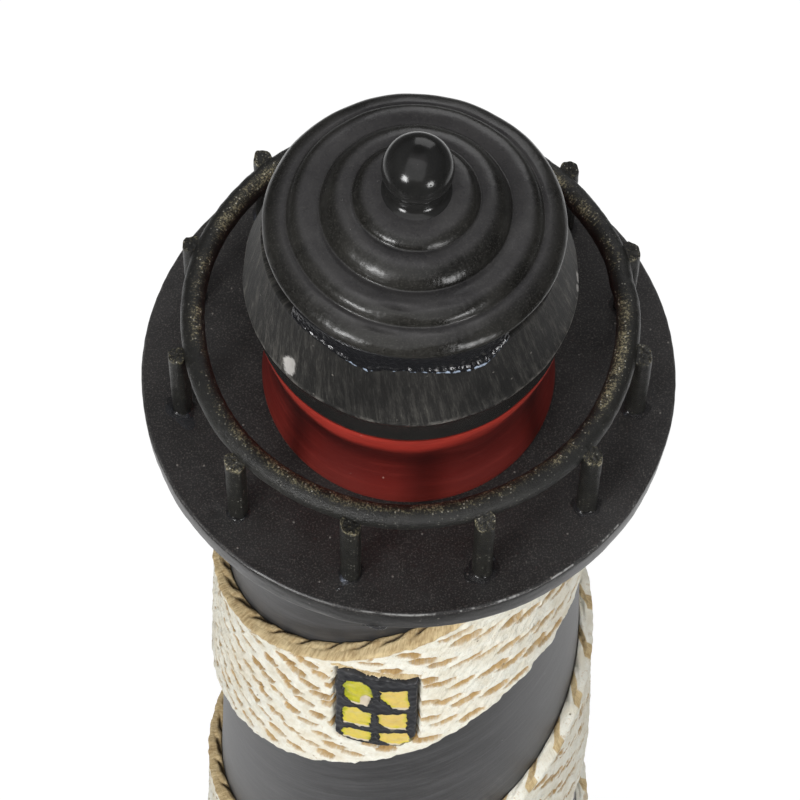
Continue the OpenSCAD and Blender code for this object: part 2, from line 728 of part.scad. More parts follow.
// A lamp with a round lens, a flange and two legs, standing along +Z from its flange.
module lamp(leg) {
  flange_r = lamp_d / 2 + 0.4;
  body_h = lamp_d * 0.7;
  rotate_extrude($fn = 48) polygon(concat(
    [[0, 0], [flange_r, 0], [flange_r, 1], [lamp_d / 2, 1]],
    [for (i = [0 : 8]) [lamp_d / 2 * cos(11.25 * i), 1 + body_h + lamp_d / 2 * sin(11.25 * i)]]));
  for (s = [-1, 1]) translate([s * 1.27, 0, -leg]) cylinder(h = leg + 0.2, r = 0.25, $fn = 16);
}

board_z = deck_z - deck_t - 4;
module lantern_lamp() {
  color("white") translate([0, 0, holder_top + 0.05]) lamp(holder_top - board_z - 1.2);
}

board_t = 1.2;
module lantern_board() {
  board_r = 7.4;
  color(board_green) {
    difference() {
      translate([0, 0, board_z]) cylinder(h = board_t, r = board_r);
      for (s = [-1, 1]) translate([s * 1.27, 0, board_z - over])
        cylinder(h = board_t + 2 * over, r = 0.35, $fn = 24);
    }
    // Stand-offs that hold the board under the holder.
    for (s = [-1, 1]) translate([0, s * 5, board_z + board_t - tiny])
      cylinder(h = deck_z - deck_t - 1 - board_z - board_t, r = 1.2, $fn = 24);
  }
}

// The second lamp is on a strip glued to the rear wall, facing the windows.
strip_angle = 90;
strip_z = (upper_window_z + lower_window_z) / 2;
strip_h = 22;
strip_w = 9;
strip_x = bore_r(strip_z + strip_h / 2) * cos(asin(strip_w / 2 / bore_r(strip_z + strip_h / 2))) - board_t - 0.2;
module window_board() {
  color(board_green) facing(strip_angle, strip_z) {
    difference() {
      translate([strip_x, -strip_w / 2, -strip_h / 2]) cube([board_t, strip_w, strip_h]);
      for (s = [-1, 1]) translate([strip_x - over, s * 1.27, 0]) rotate([0, 90, 0])
        cylinder(h = board_t + 2 * over, r = 0.35, $fn = 24);
    }
  }
}

module window_lamp() {
  color("white") facing(strip_angle, strip_z) translate([strip_x - 1, 0, 0])
    rotate([0, -90, 0]) rotate([0, 0, 90]) lamp(1.6);
}

// Leads, run along the inner wall. Their bends are points chosen by hand.
lead_r = 0.7;
lead_out_y = 8;
lead_out_z = cover_top + 8.5;
lead_side = 2.6;
lead_gap = 0.4;
lead_step = 4.5;

function wall_point(side, z) = [side, bore_r(z) - lead_r - lead_gap, z];
function between(a, b, step) =
  let (n = ceil(norm(b - a) / step)) [for (i = [0 : n - 1]) mix(a, b, i / n)];
// Rounds the corners of a route by averaging each point with its neighbours.
function eased(path) = [for (i = [0 : len(path) - 1])
  i == 0 || i == len(path) - 1 ? path[i] : (path[i - 1] + 2 * path[i] + path[i + 1]) / 4];
function route(corners, step) = eased(eased(concat(
  [for (i = [0 : len(corners) - 2]) each between(corners[i], corners[i + 1], step)],
  [corners[len(corners) - 1]])));

board_y = strip_x + board_t / 2;
board_low = strip_z - strip_h / 2 - 0.3;
board_high = strip_z + strip_h / 2 + 0.3;

// One lead in two lengths: up the rear wall to the strip, then on to the lantern's board.
module lead_in_two(side, from) {
  top = tower_top_z - 12;
  deck_y = 18;
  board_edge = 7.7;
  sweep_tube(route(concat(from, [wall_point(side, board_low - 12), [side, board_y, board_low - 5],
    [side, board_y, board_low]]), lead_step), lead_r, 8);
  sweep_tube(route([[side, board_y, board_high], [side, board_y, board_high + 5],
    wall_point(side, board_high + 14), wall_point(side, top),
    [side, deck_y, board_z + 0.6], [side, board_edge, board_z + 0.6]], lead_step), lead_r, 8);
}

lug_z = switch_z + 3.2;
lug_gap = 0.1;
left_lug = [switch_mid - switch_w / 2 - lug_gap, switch_y, lug_z];
right_lug = [switch_mid + switch_w / 2 + lug_gap, switch_y, lug_z];
tray_end = tray_l / 2 + 0.2;

// The leads leave the switch and the tray straight, for a short way.
lead_start = 3.6;

module supply_lead() {
  straight = [for (x = [0 : 3]) right_lug + [lead_start * x / 3, 0, 0]];
  color("firebrick") lead_in_two(-lead_side, concat(straight, [[4, switch_y + 4.5, lug_z + 10],
    wall_point(-lead_side, lug_z + 26)]));
}

module return_lead() {
  color("dimgray") lead_in_two(lead_side, [[tray_end, lead_out_y, lead_out_z],
    [tray_end + lead_start - 0.6, lead_out_y, lead_out_z], [tray_end, tray_w / 2 + 2.2, lead_out_z + 6],
    [tray_end / 2, switch_y + 3, lead_out_z + 17], wall_point(lead_side, lead_out_z + 34)]);
}

// The short lead goes round the corner of the tray.
module switch_lead() {
  color("firebrick") sweep_tube(route([left_lug, left_lug - [lead_start, 0, 0],
    [-tray_end + 3.2, tray_w / 2 + 6.8, lug_z + 2], [-tray_end - 3.4, tray_w / 2 - 1.4, lead_out_z],
    [-tray_end - lead_start + 0.4, lead_out_y, lead_out_z], [-tray_end, lead_out_y, lead_out_z]], 2.4), lead_r, 8);
}

// Roof

module roof_skirt() {
  lip_r = drum_top_r;
  spigot_h = 2;
  spigot_r = drum_top_r - drum_wall - 1.4;
  inner_r = spigot_r - 2;
  color(black) rotate_extrude() polygon([
    [inner_r - 1, dome_z], [inner_r, skirt_z - spigot_h], [spigot_r, skirt_z - spigot_h],
    [spigot_r, skirt_z], [lip_r, skirt_z],
    [lip_r + 0.5, skirt_z + lip_h * 0.25], [skirt_r - 0.3, skirt_z + lip_h - 0.6], [skirt_r, skirt_z + lip_h],
    [skirt_top_r, dome_z]]);
}

// The dome is turned in four steps. Each one starts steep at the groove round its foot, and
// rolls over to lie nearly flat at the next groove.
roll_steps = 8;
groove_dip = 0.15;
function roll(from_r, to_r, low, high) =
  [for (i = [0 : roll_steps]) let (t = i / roll_steps, lift = pow(1 - pow(1 - t, 2.2), 0.5))
    [mix(from_r, to_r, t), mix(low, high, lift) - groove_dip * pow(t, 8)]];

module roof_dome() {
  under = 1.2;
  rim_z = dome_h * 0.25;
  groove_z = [dome_h * 0.45, dome_h * 0.61, dome_h * 0.86];
  seat_r = neck_r + 0.4;
  foot_r = skirt_top_r - 0.8;
  inner_r = dome_r - 6;
  hollow = cap_wall * 0.5;
  color(black) translate([0, 0, dome_z]) rotate_extrude() polygon(concat(
    [[0, groove_z[2] - cap_wall], [cap_groove_r * 0.6, groove_z[2] - cap_wall],
     [cap_groove_r, groove_z[1] - cap_wall * 0.6], [ring_groove_r, groove_z[0] - cap_wall * 0.8],
     [inner_r, hollow], [inner_r + 0.5, 0]],
    [[foot_r, 0], [foot_r + 0.1, under], [dome_r - 0.3, rim_z - 0.9], [dome_r, rim_z - 0.25]],
    roll(dome_r, brim_groove_r, rim_z, groove_z[0]),
    roll(brim_groove_r - tiny, ring_groove_r, groove_z[0] - groove_dip, groove_z[1]),
    roll(ring_groove_r - tiny, cap_groove_r, groove_z[1] - groove_dip, groove_z[2]),
    roll(cap_groove_r - tiny, seat_r, groove_z[2] - groove_dip, dome_h + groove_dip),
    [[0, dome_h]]));
}

module roof_finial() {
  foot_r = neck_r + 0.3;
  low = -asin(sqrt(1 - pow(neck_r / ball_r, 2)));
  color(black) rotate_extrude() polygon(concat(
    [[0, crown_z + 0.02], [foot_r, crown_z + 0.02], [foot_r, crown_z + 0.4], [neck_r, crown_z + 0.9]],
    [for (i = [0 : 20]) let (a = mix(low, 90, i / 20)) [ball_r * cos(a), ball_z + ball_r * sin(a)]]));
}

base_plinth();
rubber_feet();
base_cover();
cover_screws();
battery_tray();
battery_door();
battery_cells();
contact_springs();
contact_plates();
switch_body();
switch_screws();
switch_knob();
tower_shell();
rope_band();
upper_window_frame();
upper_window_panes();
lower_window_frame();
lower_window_panes();
entry_surround();
entry_door();
entry_knob();
gallery_deck();
rail_posts();
rail_ring();
lantern_drum();
lamp_holder();
lantern_lamp();
lantern_board();
window_lamp();
window_board();
switch_lead();
supply_lead();
return_lead();
roof_skirt();
roof_dome();
roof_finial();
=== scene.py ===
import math

import bmesh
import bpy
import numpy as np
from mathutils import Matrix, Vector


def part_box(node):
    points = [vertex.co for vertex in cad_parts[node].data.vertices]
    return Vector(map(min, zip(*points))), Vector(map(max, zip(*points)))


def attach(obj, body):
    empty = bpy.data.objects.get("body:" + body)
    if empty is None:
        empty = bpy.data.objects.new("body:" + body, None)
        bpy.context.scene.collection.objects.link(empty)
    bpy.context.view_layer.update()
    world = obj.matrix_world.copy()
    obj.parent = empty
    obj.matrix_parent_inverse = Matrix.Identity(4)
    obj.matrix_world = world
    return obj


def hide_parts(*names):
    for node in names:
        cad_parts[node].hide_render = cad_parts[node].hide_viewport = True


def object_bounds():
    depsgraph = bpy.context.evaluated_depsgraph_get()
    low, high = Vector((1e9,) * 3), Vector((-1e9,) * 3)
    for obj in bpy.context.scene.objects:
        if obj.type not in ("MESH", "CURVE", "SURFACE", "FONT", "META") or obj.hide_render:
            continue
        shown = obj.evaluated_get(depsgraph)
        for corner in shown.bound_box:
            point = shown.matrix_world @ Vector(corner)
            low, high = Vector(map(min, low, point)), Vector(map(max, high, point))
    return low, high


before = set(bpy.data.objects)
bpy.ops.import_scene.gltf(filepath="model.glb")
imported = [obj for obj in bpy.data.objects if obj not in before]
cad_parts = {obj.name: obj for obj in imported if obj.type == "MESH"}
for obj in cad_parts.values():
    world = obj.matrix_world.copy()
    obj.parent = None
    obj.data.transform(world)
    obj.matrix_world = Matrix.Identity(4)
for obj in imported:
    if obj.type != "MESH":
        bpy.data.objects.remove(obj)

mm = 0.001
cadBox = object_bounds()
main = "lighthouse"                                   # the body that nearly everything rides on

# Heights in the CAD frame, in millimetres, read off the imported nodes.
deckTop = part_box("gallery_deck")[1].z / mm
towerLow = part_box("tower_shell")[0].z / mm
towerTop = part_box("tower_shell")[1].z / mm
drumHigh = 26.0
skirtLow = deckTop + drumHigh
skirtEdge = deckTop + 36.0                            # edge over the skirt's glossy lip, with a painted glint along it
domeLow = deckTop + 50.0
crownRise = 14.2                                      # crown of the dome over its foot
crown = domeLow + crownRise
highest = cadBox[1].z / mm
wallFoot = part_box("tower_shell")[1].x / mm
wallHead = 32.3                                       # wall's radius at its top
deckRadius = 48.0


# Wall radius at a height: a straight taper from foot to head.
def wallRadius(z):
    return wallFoot + (wallHead - wallFoot) * (z - towerLow) / (towerTop - towerLow)


# Smooth random bumps: a sum of sine waves in random directions, from one seed.
def ripple(x, y, z, size, seed, waves=9):
    rng = np.random.default_rng(seed)
    total = np.zeros(np.broadcast(x, y, z).shape)
    for k in range(waves):
        d = rng.normal(size=3)
        d = d / np.linalg.norm(d) * (2 * math.pi / size) * rng.uniform(0.6, 1.7)
        total = total + np.sin(x * d[0] + y * d[1] + z * d[2] + rng.uniform(0, 6.28))
    return total / math.sqrt(waves)


# 0 below low, 1 above high, smooth between: t squared times (3 - 2t).
def smooth(value, low, high):
    t = np.clip((value - low) / (high - low), 0, 1)
    return t * t * (3 - 2 * t)


# 0 outside, 1 in the middle: smooth up between the first two values, down between the last two.
def plateau(value, low, rising, falling, high):
    return smooth(value, low, rising) * (1 - smooth(value, falling, high))


# Points from radius, angle in radians and height: x = r cos a, y = r sin a.
def spun(r, a, z):
    return np.stack([r * np.cos(a), r * np.sin(a), z], -1)


# A number between 0 and 1 for each pair of whole numbers, always the same one.
def dice(m, n, seed):
    value = np.sin(m * 12.9898 + n * 78.233 + seed * 37.719) * 43758.5453
    return value - np.floor(value)


# Faces of a grid of points, rows by columns; each face joins (i, j) to its next neighbours.
def gridFaces(rows, columns, wrapRows=False, wrapColumns=False, flip=False):
    i = np.arange(rows if wrapRows else rows - 1)
    j = np.arange(columns if wrapColumns else columns - 1)
    i, j = np.meshgrid(i, j, indexing="ij")
    a = i * columns + j
    b = i * columns + (j + 1) % columns
    c = (i + 1) % rows * columns + (j + 1) % columns
    d = (i + 1) % rows * columns + j
    faces = np.stack([a, d, c, b] if flip else [a, b, c, d], -1).reshape(-1, 4)
    return faces


# A sheet made solid: its faces, the same faces turned round on the back points, and a strip
# between the two along every edge that only one face has.
def closedShell(front, back, faces):
    count = len(front)
    start = faces.ravel()
    end = np.roll(faces, -1, 1).ravel()
    key = np.minimum(start, end) * count + np.maximum(start, end)
    index, times = np.unique(key, return_index=True, return_counts=True)[1:]
    lone = index[times == 1]
    strip = np.stack([end[lone], start[lone], start[lone] + count, end[lone] + count], -1)
    return np.concatenate([front, back]), np.concatenate([faces, faces[:, ::-1] + count, strip])


# A new object in the scene, from a mesh, a lamp or a camera.
def newObject(name, data):
    made = bpy.data.objects.new(name, data)
    bpy.context.scene.collection.objects.link(made)
    return made


# Puts points (in millimetres) and four-sided faces into a mesh on the main body. extra holds one
# number a point for each attribute, sharp is the angle from which an edge stays sharp.
def makePiece(name, points, faces, finish, slot, replaces=(), weld=False, extra=None, sharp=None):
    mesh = bpy.data.meshes.new(name)
    points = np.asarray(points, float).reshape(-1, 3) * mm
    faces = np.asarray(faces)
    mesh.vertices.add(len(points))
    mesh.vertices.foreach_set("co", points.astype(np.float32).ravel())
    mesh.loops.add(faces.size)
    mesh.loops.foreach_set("vertex_index", faces.astype(np.int32).ravel())
    mesh.polygons.add(len(faces))
    mesh.polygons.foreach_set("loop_start", np.arange(0, faces.size, faces.shape[1], dtype=np.int32))
    mesh.update(calc_edges=True)
    for key, values in (extra or {}).items():
        layer = mesh.attributes.new(key, "FLOAT", "POINT")
        layer.data.foreach_set("value", np.asarray(values, np.float32).ravel())
    if weld:
        work = bmesh.new()
        work.from_mesh(mesh)
        bmesh.ops.remove_doubles(work, verts=work.verts, dist=2e-6)
        bmesh.ops.recalc_face_normals(work, faces=work.faces)
        work.to_mesh(mesh)
        work.free()
    mesh.validate()
    mesh.polygons.foreach_set("use_smooth", np.ones(len(mesh.polygons), bool))
    if sharp:
        mesh.set_sharp_from_angle(angle=math.radians(sharp))
    mesh.materials.append(finish)
    piece = newObject(name, mesh)
    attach(piece, main)
    if replaces:
        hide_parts(*replaces)
    print("made", name, len(mesh.polygons), "faces")


# Fine points along a profile of (radius, height) corners, keeping every corner.
def finer(profile, step):
    profile = np.asarray(profile, float)
    out = [profile[:1]]
    for a, b in zip(profile[:-1], profile[1:]):
        n = max(1, int(np.ceil(np.linalg.norm(b - a) / step)))
        out.append(a + (b - a) * (np.arange(1, n + 1) / n)[:, None])
    return np.concatenate(out)


# Smooth curve through control points: radius and height each follow a Catmull-Rom line.
def flowing(control, step):
    p = np.asarray(control, float)
    p = np.vstack([2 * p[0] - p[1], p, 2 * p[-1] - p[-2]])
    out = []
    for k in range(1, len(p) - 2):
        n = max(2, int(np.ceil(np.linalg.norm(p[k + 1] - p[k]) / step)))
        t = (np.arange(n) / n)[:, None]
        out.append(0.5 * (2 * p[k] + (p[k + 1] - p[k - 1]) * t
                          + (2 * p[k - 1] - 5 * p[k] + 4 * p[k + 1] - p[k + 2]) * t ** 2
                          + (3 * p[k] - p[k - 1] - 3 * p[k + 1] + p[k + 2]) * t ** 3))
    out.append(p[-2][None])
    return np.concatenate(out)


# Softens the corners of a profile: each point becomes the mean of count points round it.
def soften(profile, count):
    half = count // 2
    padded = np.concatenate([np.repeat(profile[:1], half, 0), profile, np.repeat(profile[-1:], half, 0)])
    return np.stack([np.convolve(padded[:, k], np.ones(count) / count, "valid") for k in range(2)], -1)


# Arc of (radius, height) points about a centre, angles in degrees.
def arc(cr, cz, r, start, end, steps):
    a = np.radians(np.linspace(start, end, steps + 1))
    return np.stack([cr + r * np.cos(a), cz + r * np.sin(a)], -1)


# Turns a profile of (radius, height) round the Z axis, with a small change of both.
def turned(profile, sides, change):
    a = np.linspace(0, 2 * math.pi, sides, endpoint=False)[None, :]
    r = profile[:, :1] + 0 * a
    z = profile[:, 1:] + 0 * a
    dr, dz = change(r, a, z)
    return spun(r + dr, a, z + dz)


# A turned piece. A profile that ends on the axis is welded there, any other closes on itself.
def makeTurned(name, profile, form, change, finish, slot, replaces, move=None, flip=False, **more):
    points = turned(profile, form["sides"], change)
    if move:
        points = move(points)
    onAxis = profile[-1][0] == 0
    faces = gridFaces(*points.shape[:2], wrapRows=not onAxis, wrapColumns=True, flip=flip)
    makePiece(name, points, faces, finish, slot, [replaces], weld=onAxis, **more)


# Tube along a closed path: rings of points square to it, the second axis of each ring upward.
def tube(path, radius, sides):
    along = np.roll(path, -1, 0) - np.roll(path, 1, 0)
    along = along / np.linalg.norm(along, axis=1)[:, None]
    out = np.cross(along, [0.0, 0.0, 1.0])
    out = out / np.linalg.norm(out, axis=1)[:, None]
    up = np.cross(out, along)
    a = np.linspace(0, 2 * math.pi, sides, endpoint=False)
    ring = out[:, None] * np.cos(a)[None, :, None] + up[:, None] * np.sin(a)[None, :, None]
    return path[:, None] + ring * radius[..., None]


# Low dome of glue: a disc of rings about a place, its height falling as (1 - t squared) from
# the middle, its outline waved, its own up direction given.
def blobPoints(place, up, wide, high, seed, rings=14, sides=40):
    rng = np.random.default_rng(seed)
    up = np.asarray(up, float) / np.linalg.norm(up)
    side = np.cross(up, [0.3, 0.2, 0.93])
    side = side / np.linalg.norm(side)
    other = np.cross(up, side)
    t = np.linspace(0, 1, rings)[:, None]
    a = np.linspace(0, 2 * math.pi, sides, endpoint=False)[None, :]
    wave = 1 + 0.16 * np.cos(2 * a + rng.uniform(0, 6)) + 0.10 * np.cos(3 * a + rng.uniform(0, 6))
    wave = wave + 0.05 * np.cos(5 * a + rng.uniform(0, 6))
    x = wide[0] * t * wave * np.cos(a)
    y = wide[1] * t * wave * np.sin(a)
    h = high * (1 - t ** 2) ** 0.8 * (1 + 0.12 * ripple(x, y, 0, max(wide), seed)) - 0.12 * t
    front = place + x[..., None] * side + y[..., None] * other + h[..., None] * up
    back = place + x[..., None] * side + y[..., None] * other - 0.3 * up
    return front, back


# One number or colour in a formula of nodes. Each operator adds its node.
class Value:
    def __init__(self, finish, socket):
        self.finish = finish
        self.socket = socket

    def math(self, operation, *others):
        return self.finish.node("Math", {"operation": operation}, [self, *others])

    def __add__(self, other):
        return self.math("ADD", other)

    __radd__ = __add__

    def __mul__(self, other):
        return self.math("MULTIPLY", other)

    __rmul__ = __mul__

    def __sub__(self, other):
        return self.math("SUBTRACT", other)

    def __rsub__(self, other):
        return self.finish.node("Math", {"operation": "SUBTRACT"}, [other, self])

    def __truediv__(self, other):
        return self.math("DIVIDE", other)

    def clip(self, low, high):                        # 0 below low, 1 above high, smooth between
        settings = {"interpolation_type": "SMOOTHSTEP"}
        return self.finish.node("MapRange", settings, {0: self, 1: low, 2: high})

    def bell(self, middle, wide):                     # 1 at the middle, 0 beyond wide on either side
        away = self.finish.node("Math", {"operation": "ABSOLUTE"}, [self - middle])
        return 1 - away.clip(0.0, wide)


# A tree of nodes, which all come from node(): a type, settings that are set first, the numbers,
# colours or links of its inputs, and the output that is wanted.
class Nodes:
    def __init__(self, tree):
        self.tree = tree
        self.tree.nodes.clear()

    def node(self, kind, settings=None, inputs=None, out=0):
        made = self.tree.nodes.new("ShaderNode" + kind)
        for key, value in (settings or {}).items():
            if key == "stops":
                ramp = made.color_ramp
                while len(ramp.elements) < len(value):
                    ramp.elements.new(0.5)
                for stop, (at, colour) in zip(ramp.elements, value):
                    stop.position = at
                    stop.color = (*colour, 1)
            else:
                setattr(made, key, value)
        pairs = inputs.items() if isinstance(inputs, dict) else enumerate(inputs or [])
        for key, value in pairs:
            self.feed(made.inputs[key], value)
        return Value(self, made.outputs[out]) if made.outputs else made

    def feed(self, socket, value):
        if isinstance(value, Value):
            self.tree.links.new(value.socket, socket)
        elif isinstance(value, (tuple, list)) and socket.type == "RGBA":
            socket.default_value = (*value[:3], 1)
        else:
            socket.default_value = value

    def mix(self, amount, a, b, way="MIX"):
        return self.node("Mix", {"data_type": "RGBA", "blend_type": way}, {0: amount, 6: a, 7: b}, 2)

    def parts(self, where):
        split = self.node("SeparateXYZ", None, [where]).socket.node
        return [Value(self, socket) for socket in split.outputs]

    def toward(self, where, aim):                     # how far a vector points along another one
        return self.node("VectorMath", {"operation": "DOT_PRODUCT"}, [where, aim], "Value")

    def distance(self, where, place):                 # distance in space from a fixed place
        return self.node("VectorMath", {"operation": "DISTANCE"}, [where, place], "Value")


# One material with a Principled shader.
class Finish(Nodes):
    def __init__(self, name, **fixed):
        self.material = bpy.data.materials.new(name)
        self.material.use_nodes = True
        super().__init__(self.material.node_tree)
        self.shader = self.node("BsdfPrincipled")
        self.end = self.node("OutputMaterial", None, [self.shader])
        self.set(**fixed)
        self.place = self.node("TexCoord", out="Object")

    def set(self, **values):
        for key, value in values.items():
            self.feed(self.shader.socket.node.inputs[key.replace("_", " ")], value)

    def noise(self, scale, detail=4, rough=0.6, where=None):
        inputs = {"Vector": where or self.place, "Scale": scale, "Detail": detail, "Roughness": rough}
        return self.node("TexNoise", None, inputs)

    def cells(self, scale, out="Distance"):
        return self.node("TexVoronoi", None, {"Vector": self.place, "Scale": scale}, out)

    def stretch(self, *share):
        return self.node("VectorMath", {"operation": "MULTIPLY"}, [self.place, share])

    def attribute(self, name):
        return self.node("Attribute", {"attribute_name": name}, out="Fac")

    def turn(self):                                   # angle round the Z axis, and height
        x, y, z = self.parts(self.place)
        return self.node("Math", {"operation": "ARCTAN2"}, [y, x]), z

    def vector(self, x, y, z=0.0):
        return self.node("CombineXYZ", None, [x, y, z])

    def bump(self, height, distance):
        self.set(Normal=self.node("Bump", None, {"Height": height, "Distance": distance}))


# Specks: small round dots of a share of the Voronoi cells, brighter near each cell's middle.
def specks(f, scale, size, share):
    near = 1 - f.cells(scale).clip(size * 0.4, size)
    chance = f.node("SeparateColor", None, [f.cells(scale, "Color")]).clip(1 - share, 1.02 - share)
    return near * chance


# Painted black resin: satin black with soft blotches, fine dust and a slight orange peel. Light
# and shade are painted in too: level parts, where the flat attribute says, and the left and right
# sides are lightened as painted reflections, a pale broken painted glint runs where the edge
# attribute marks an arris, and below the deck's top it is darkened as painted shade.
paintedLightOnBlack = {"side": (1.0, 0.98, 0.98), "under": (0.004, 0.004, 0.004), "arris": (0.60, 0.60, 0.58)}


def blackPaint(name, look):
    f = Finish(name, Specular_IOR_Level=look["shine"], Coat_Roughness=0.16, Coat_Weight=look["coat"])
    blotch = f.noise(55, 5, 0.62)
    smear = f.noise(130, 4, 0.7)
    dust = specks(f, look["dustScale"], 0.17, look["dustShare"])
    fine = specks(f, look["dustScale"] * 2.3, 0.20, look["dustShare"] * 2.2)
    rare = specks(f, look["dustScale"] * 0.45, 0.085, look["dustShare"] * 0.35)
    base = f.mix((blotch * 0.6 + smear * 0.4).clip(0.36, 0.66), look["deep"], look["worn"])
    x, z = f.parts(f.place)[::2]
    # Painted reflection: where the skin lies level it is lightened purple-grey.
    if look["flatSheen"]:
        level = f.attribute("flat") * look["flatSheen"] * (0.5 + blotch)
        base = f.mix(level, base, look["sheenColour"], "ADD")
    # Painted reflection: the left and right sides are lightened.
    outward = (x * x) / (deckRadius * deckRadius * mm * mm)
    base = f.mix(outward * look["sides"] * (0.4 + blotch), base, paintedLightOnBlack["side"], "ADD")
    base = f.mix(f.noise(2900, 2, 0.8).clip(0.49, 0.70) * look["grain"], base, look["dustColour"])
    # Painted glint: a pale broken line along the arris where the edge attribute says.
    arrisGlint = f.attribute("edge") * f.noise(150, 4, 0.75).clip(0.47, 0.56)
    base = f.mix(arrisGlint * 0.85, base, paintedLightOnBlack["arris"])
    # Painted shade: darker below the deck's top, on its edge and underside.
    below = 1 - z.clip((deckTop - 1.2) * mm, (deckTop - 0.4) * mm)
    base = f.mix(below * look["under"], base, paintedLightOnBlack["under"])
    base = f.mix(dust * look["dustLight"], base, look["dustColour"])
    base = f.mix(fine * (look["dustLight"] * 0.5), base, look["dustColour"])
    base = f.mix(rare * min(1.0, look["dustLight"] * 1.6), base, look["dustColour"])
    rough = look["rough"] + (smear - 0.5) * look["roughVary"] + dust * 0.25
    f.set(Base_Color=base, Roughness=rough)
    peel = f.noise(420, 3, 0.6) + 0.8 * f.noise(90, 3, 0.5, f.stretch(0.5, 0.5, 3)) + 1.5 * dust
    f.bump(peel, look["peel"] * mm)
    return f.material


domeLook = {
    "deep": (0.0075, 0.0072, 0.0062), "worn": (0.028, 0.027, 0.0235), "shine": 0.38, "rough": 0.29,
    "roughVary": 0.35, "coat": 0.05, "dustScale": 700, "dustShare": 0.06, "dustLight": 0.3,
    "dustColour": (0.25, 0.24, 0.22), "peel": 0.10, "grain": 0.12, "sides": 0.012, "flatSheen": 0.050,
    "sheenColour": (0.95, 0.93, 0.98), "under": 0.0,
}
deckLook = {
    "deep": (0.0140, 0.0132, 0.0130), "worn": (0.030, 0.0290, 0.0285), "shine": 0.42, "rough": 0.40,
    "roughVary": 0.2, "coat": 0.05, "dustScale": 620, "dustShare": 0.14, "dustLight": 0.5,
    "dustColour": (0.42, 0.39, 0.35), "peel": 0.06, "grain": 0.17, "sides": 0.020, "flatSheen": 0.0,
    "under": 0.45,
}
ballLook = {**domeLook, "deep": (0.012, 0.012, 0.0118), "worn": (0.020, 0.020, 0.019), "rough": 0.17,
            "roughVary": 0.1, "coat": 0.0, "dustShare": 0.02, "peel": 0.03, "grain": 0.02, "flatSheen": 0.0}
domePaint = blackPaint("domeBlack", domeLook)
deckPaint = blackPaint("deckBlack", deckLook)
ballPaint = blackPaint("ballBlack", ballLook)
plinthPaint = blackPaint("plinthBlack", {**deckLook, "dustShare": 0.06, "under": 0.0})

# Side of the lantern cap: black, brushed down its slope with paler dry streaks, and chipped; a
# pale broken glint is painted along its edge over the lip.
skirtLook = {
    "base": (0.0085, 0.0082, 0.0078), "worn": (0.017, 0.0164, 0.0152), "dry": (0.21, 0.20, 0.175),
    "dryAmount": 0.85, "edge": (0.20, 0.19, 0.17), "dust": (0.35, 0.33, 0.29), "bare": (0.46, 0.445, 0.42),
    "chips": [                                        # place in mm from the deck's top, size, strength
        ((-19.94, -19.53, 38.9), 2.3, 1.0), ((28.5, -0.1, 36.2), 1.5, 0.8),
        ((28.34, -2.3, 36.7), 1.0, 0.6)],
}


def brushedPaint():
    f = Finish("skirtBrushed", Specular_IOR_Level=0.26)
    turn, z = f.turn()
    x = f.parts(f.place)[0]
    lean = turn + z * 5.5                             # the brush marks lean a little
    along = f.vector(lean * 8.0, z * 30)
    streak = f.noise(2.8, 5, 0.85, along)
    hair = f.noise(7.5, 4, 0.85, along)
    patch = f.noise(60, 3, 0.5)
    low = z.clip((skirtEdge - 1.2) * mm, (skirtEdge + 0.4) * mm)   # the lip stays glossy
    outward = (x * x) / (30 * 30 * mm * mm)           # the dry streaks grow stronger towards the left and right sides
    dry = streak.clip(0.45, 0.68) * 0.42 + hair.clip(0.53, 0.70) * 0.46
    dry = dry * low * (patch.clip(0.2, 0.8) * 0.6 + 0.85 * outward)
    base = f.mix(patch.clip(0.3, 0.7), skirtLook["base"], skirtLook["worn"])
    base = f.mix(dry * skirtLook["dryAmount"], base, skirtLook["dry"])
    # Painted glint: a pale broken line along the edge over the lip.
    edge = z.bell(skirtEdge * mm, 0.8 * mm) * f.noise(300, 3, 0.7).clip(0.42, 0.6)
    base = f.mix(edge * 0.55, base, skirtLook["edge"])
    dust = specks(f, 640, 0.17, 0.10)
    base = f.mix(dust * 0.35, base, skirtLook["dust"])
    crumb = f.noise(520, 3, 0.7)
    bare = 0.0
    for (x, y, h), size, strength in skirtLook["chips"]:
        middle = (x * mm, y * mm, (deckTop + h) * 0.62 * mm)
        away = f.distance(f.stretch(1, 1, 0.62), middle) / (size * mm)
        bare = bare + (1 - (away + (crumb - 0.5) * 0.9).clip(0.5, 0.72)) * strength
    base = f.mix(bare, base, skirtLook["bare"])
    f.set(Base_Color=base, Roughness=0.24 + low * (0.26 + 0.2 * streak))
    f.bump((streak * 1.0 + hair * 0.6 + 0.6 * dust) * low - bare + 0.4 * patch, 0.12 * mm)
    return f.material


# Lantern drum: glossy red with faint streaks round it, its colour painted with light and shade
# by height: a painted highlight under the cap's lip and painted shade at the waist.
redLook = {
    "lightAndShadeLevels": [                                       # share of the drum's height, colour
        (0.0, (0.15, 0.016, 0.011)), (0.2, (0.13, 0.011, 0.008)), (0.5, (0.078, 0.005, 0.0035)),
        (0.66, (0.10, 0.007, 0.0045)), (0.78, (0.38, 0.030, 0.019)), (1.0, (0.40, 0.036, 0.023))],
    "pool": (0.075, 0.006, 0.005), "streak": (0.40, 0.05, 0.035), "dust": (0.5, 0.3, 0.25),
}


